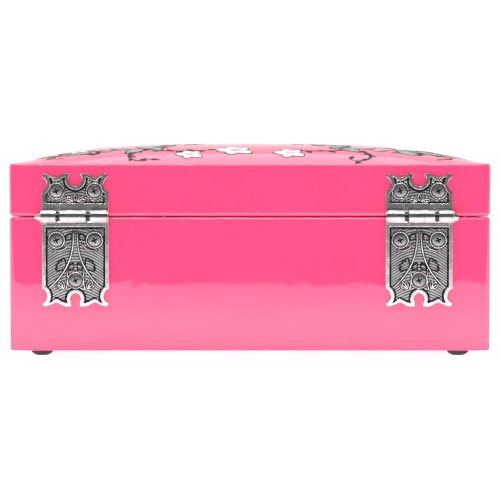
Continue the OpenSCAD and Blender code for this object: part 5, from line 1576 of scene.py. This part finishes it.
# %% Face and hair
REACH = 14                 # degrees that a feature's patch reaches to each side of its middle
head_patch("dancer_head", lambda a, e: 1, 0.0, SKIN)
head_patch("dancer_hair", hairline, 0.2, HAIR)
for s, label in LEFT_RIGHT:
    eye, brow, cheek = (FACE + s * turn for turn in (21, 22, 34))
    for part, middle, shape, lift, paint, low, high, n in [
            ("eye", eye, arch(eye, 2, 9.5, 1.4, -4), 0.045, FEATURE, -14, 16, (56, 60)),
            ("brow", brow, arch(brow, 13, 11, 0.9, 4), 0.035, FEATURE, 6, 24, (56, 40)),
            ("cheek", cheek, ellipse(cheek, -17, 11, 10), 0.03, BLUSH, -32, 0, (30, 30))]:
        head_patch(f"dancer_{part}_{label}", shape, lift, paint, low, high, (middle - REACH, middle + REACH), n)
lips = ellipse(FACE, -29, 9.5, 3.6)
mouth = head_patch("dancer_mouth", lips, 0.09, LIP, -36, -22, (FACE - REACH, FACE + REACH), (40, 24))
print("the mouth has", len(mouth.data.polygons), "faces")


# %% [markdown]
# The bun is one strand of hair wound up in a spiral, with a satin band round its foot.

# %% Bun
STRAND, WINDS, BUN_Y, BUN_Z = 0.36 * MM, 5.2, 0.85, 39.05
bun_points = []
for t in np.linspace(0, 1, 150):
    turn, out = t * WINDS * 2 * math.pi, 1.05 * math.sin(math.pi * min(1, 0.08 + t * 0.9))
    bun_points.append(stand(out * math.cos(turn), BUN_Y + out * math.sin(turn) * 0.9, BUN_Z + 1.35 * t))
doll_part("dancer_bun", *sweep_tube(bun_points, STRAND, 9), HAIR)
band = [stand(1.2 * math.cos(a), BUN_Y + 1.1 * math.sin(a), BUN_Z + 0.2) for a in np.linspace(0, 2 * math.pi, 41)]
doll_part("dancer_hair_band", *sweep_tube(band, 0.17 * MM, 8), SATIN)
print("the strand is wound", WINDS, "times")


# %% [markdown]
# The shoes are the loft of the feet, a little larger. Four thin ribbons, tilted in pairs, cross over the ankles.

# %% Pointe shoes
def ribbon_round(z, tilt):
    """Closed line round both ankles at height z, tilted by tilt mm."""
    line = []
    for a in np.linspace(0, 2 * math.pi, 49):
        at = z + tilt * math.sin(a)
        wide, deep, shift = (float(np.interp(at, body_rows[:, 0], body_rows[:, i])) for i in (1, 2, 3))
        f = legs_apart(at, a) * 0.5 + 0.5
        line.append(stand((wide + 0.02) * math.cos(a) * f, (deep + 0.02) * math.sin(a) * f + shift, at))
    return line


shoe_rows = [np.array((-0.05, 0.7, 0.6, 0))] + [row + (0, 0.08, 0.08, 0) for row in body_rows if row[0] < 3.9]
doll_part("dancer_shoes", *loft(shoe_rows, legs_apart), SATIN)
for k, (z, tilt) in enumerate([(4.6, 0.5), (4.6, -0.5), (6.0, 0.45), (6.0, -0.45)]):
    doll_part(f"shoe_ribbon_{k + 1}", *sweep_tube(ribbon_round(z, tilt), 0.13 * MM, 6), SATIN)


# %% [markdown]
# ## Her tutu
# Four rounds of stiff net, each smaller than the one below it, are gathered at the waist and ruffle more towards
# the rim. The net is see-through between its threads; the mesh's own UV map lays the threads round and outward.

# %% Net
def make_net():
    material, tree, shader = start_material("tutu_net")
    place = add(tree, "ShaderNodeUVMap", uv_map="net").outputs[0]
    split = add(tree, "ShaderNodeSeparateXYZ", {0: place}).outputs
    waves = [maths(tree, "COSINE", maths(tree, "MULTIPLY", split[i], 6.2832)) for i in (0, 1)]
    thread = maths(tree, "MAXIMUM", *waves)
    cloud = effect(tree, MOTTLE, Scale=500.0, Low=0.93, High=1.05)
    bump = add(tree, "ShaderNodeBump", {"Height": thread, "Strength": 0.4, "Distance": 0.00004})
    put(shader, {"Base Color": tinted(tree, (0.95, 0.86, 0.88), cloud["Value"]), "Roughness": 0.6,
                 "Alpha": remap(tree, thread, 0.2, 0.9, 0.45, 0.95), "Sheen Weight": 0.3,
                 "Normal": bump.outputs[0]})
    return material


# %% [markdown]
# The threads need a UV map that runs on where the round closes. A face there has its last corners in column 0, so
# these take the number after the last column instead.

# %% Threads
NET_SIDES, NET_ROUNDS, WAIST = 240, 22, 2.1    # points round, rings outward, radius in mm


def lay_threads(sheet):
    laid = sheet.data.uv_layers.new(name="net")
    for face in sheet.data.polygons:
        corners = [sheet.data.loops[l].vertex_index for l in face.loop_indices]
        wraps = max(c % NET_SIDES for c in corners) == NET_SIDES - 1
        for l, c in zip(face.loop_indices, corners):
            column = NET_SIDES if wraps and c % NET_SIDES == 0 else c % NET_SIDES
            laid.data[l].uv = (2.0 * column, 32 * (c // NET_SIDES) / NET_ROUNDS)


# %% [markdown]
# Each round of net is a ring of cloth whose ruffles grow towards the rim. It is a single sheet.

# %% Tutu
def ruffled(reach, droop, level, folds, phase):
    """Points of one round of net, ring by ring outward."""
    points = []
    for t in (i / NET_ROUNDS for i in range(NET_ROUNDS + 1)):
        for a in around(NET_SIDES):
            wave = (math.sin(folds * a + phase[0]) + 0.4 * math.sin(math.floor(2.6 * folds) * a + phase[1])
                    + 0.5 * math.sin(3 * a + phase[2]))
            r = WAIST + (reach - WAIST) * t * (1 - 0.012 * wave)
            z = level - droop * t ** 1.6 + wave * 0.34 * t ** 1.3
            points.append(stand(r * math.cos(a), r * math.sin(a), z))
    return points


net, rng = make_net(), np.random.default_rng(7)
LAYERS = [(11.0, 2.0, 22.3), (10.6, 1.6, 22.7), (9.9, 1.2, 23.1), (9.0, 0.7, 23.5)]     # reach, droop, level in mm
for layer, (reach, droop, level) in enumerate(LAYERS):
    points = ruffled(reach, droop, level, 22 - layer, rng.uniform(0, TURN, 3))
    sheet = new_object(f"tutu_layer_{layer + 1}", points, quads(NET_ROUNDS + 1, NET_SIDES), "dancer", ["dancer_tutu"])
    lay_threads(sheet)
    use(sheet, net)


# %% [markdown]
# ## Camera
# The camera stands behind the box, a little higher than its lid, and tips down by less than three degrees. It is
# so far away that the upright edges stay nearly parallel.

# %% Camera
SHOT_DISTANCE = 900 * MM      # from the back face
SHOT_HEIGHT = 81 * MM
VIEW_WIDTH = 197 * MM         # width that the frame takes in at the back face
FRAME_MIDDLE_Z = 41.8 * MM
SENSOR = 36.0
TIP = math.atan2(SHOT_HEIGHT - FRAME_MIDDLE_Z, SHOT_DISTANCE)

camera_data = bpy.data.cameras.new("camera")
camera_data.sensor_width = SENSOR
camera_data.lens = SENSOR * SHOT_DISTANCE / VIEW_WIDTH
camera_data.clip_start = 0.01
camera = bpy.data.objects.new("camera", camera_data)
scene.collection.objects.link(camera)
camera.location = (0, Y_BACK + SHOT_DISTANCE, SHOT_HEIGHT)
camera.rotation_euler = (math.pi / 2 - TIP, 0, math.pi)
scene.camera = camera
print("lens", round(camera_data.lens, 1), "mm, tipped", round(math.degrees(TIP), 2), "degrees")


# %% [markdown]
# ## Floor and light
# A pale floor, lit a little from below as a light table is, runs far back under a bright room. It ends between the
# box and the camera, and the gloss shows that end as the level line across the base: pale floor below the line,
# darker room above it.

# %% Floor
FLOOR_END = Y_BACK + 0.485    # the further out, the higher the line in the gloss


def make_paper():
    material, tree, shader = start_material("pale_paper")
    cloud = effect(tree, MOTTLE, Scale=3.0, Low=0.99, High=1.01)
    fibre = effect(tree, GRAIN, Scale=90.0, Strength=0.05)
    put(shader, {"Base Color": tinted(tree, (0.93, 0.93, 0.93), cloud["Value"]), "Roughness": 0.9,
                 "Specular IOR Level": 0.1, "Emission Color": (1.0, 1.02, 1.1, 1), "Emission Strength": 0.85,
                 "Normal": fibre["Normal"]})
    return material


rows, columns = [FLOOR_END, 0.3, 0.1, -0.2, -0.7, -1.6, -4.0], [-3.0, -0.5, 0.5, 3.0]
points = [(x, y, 0) for y in rows for x in columns]
floor = new_object("floor", points, quads(len(rows), len(columns), wrap=False), None)
use(floor, make_paper())
print("floor:", len(floor.data.polygons), "faces")


# %% [markdown]
# Large area lights give the soft, even light of a product table. Each aims at a point, which is easier to set than
# angles.

# %% Softboxes
def softbox(name, place, target, size, power):
    data = bpy.data.lights.new(name, "AREA")
    data.shape = "RECTANGLE"
    data.size, data.size_y = size
    data.energy = power
    light = bpy.data.objects.new(name, data)
    scene.collection.objects.link(light)
    light.location = place
    light.rotation_euler = (Vector(target) - Vector(place)).to_track_quat("-Z", "Y").to_euler()
    return light


softbox("overhead", (0, 0.1, 1.25), (0, 0, 0), (1.7, 1.5), 6)
softbox("backdrop", (0, -1.7, 1.6), (0, -1.8, 0), (3.4, 2.2), 26)
apron = softbox("apron", (0, 0.26, 0.62), (0, 0.2, 0), (1.3, 0.12), 1.3)
apron.data.spread = math.radians(52)
fill = softbox("fill", (0.25, 1.5, 0.55), (0, 0, 0.04), (1.2, 0.8), 4.0)
fill.visible_glossy = False


# %% [markdown]
# The gloss shows the room as well. The sky is bright behind the box and overhead, and dim on the camera's side, so
# the back of the box keeps its full colour.

# %% Room
ROOM_DIM, ROOM_BRIGHT = 0.16, 1.15
room = bpy.data.worlds.new("room")
room.use_nodes = True
way = add(room.node_tree, "ShaderNodeTexCoord").outputs["Generated"]
depth = add(room.node_tree, "ShaderNodeSeparateXYZ", {0: way}).outputs["Y"]
glow = remap(room.node_tree, depth, 0.35, -0.1, ROOM_DIM, ROOM_BRIGHT, interpolation_type="SMOOTHSTEP")
put(room.node_tree.nodes["Background"], {"Strength": glow, "Color": (1.0, 1.0, 1.0, 1)})
scene.world = room
print("the room is", ROOM_DIM, "bright behind the camera and", ROOM_BRIGHT, "behind the box")
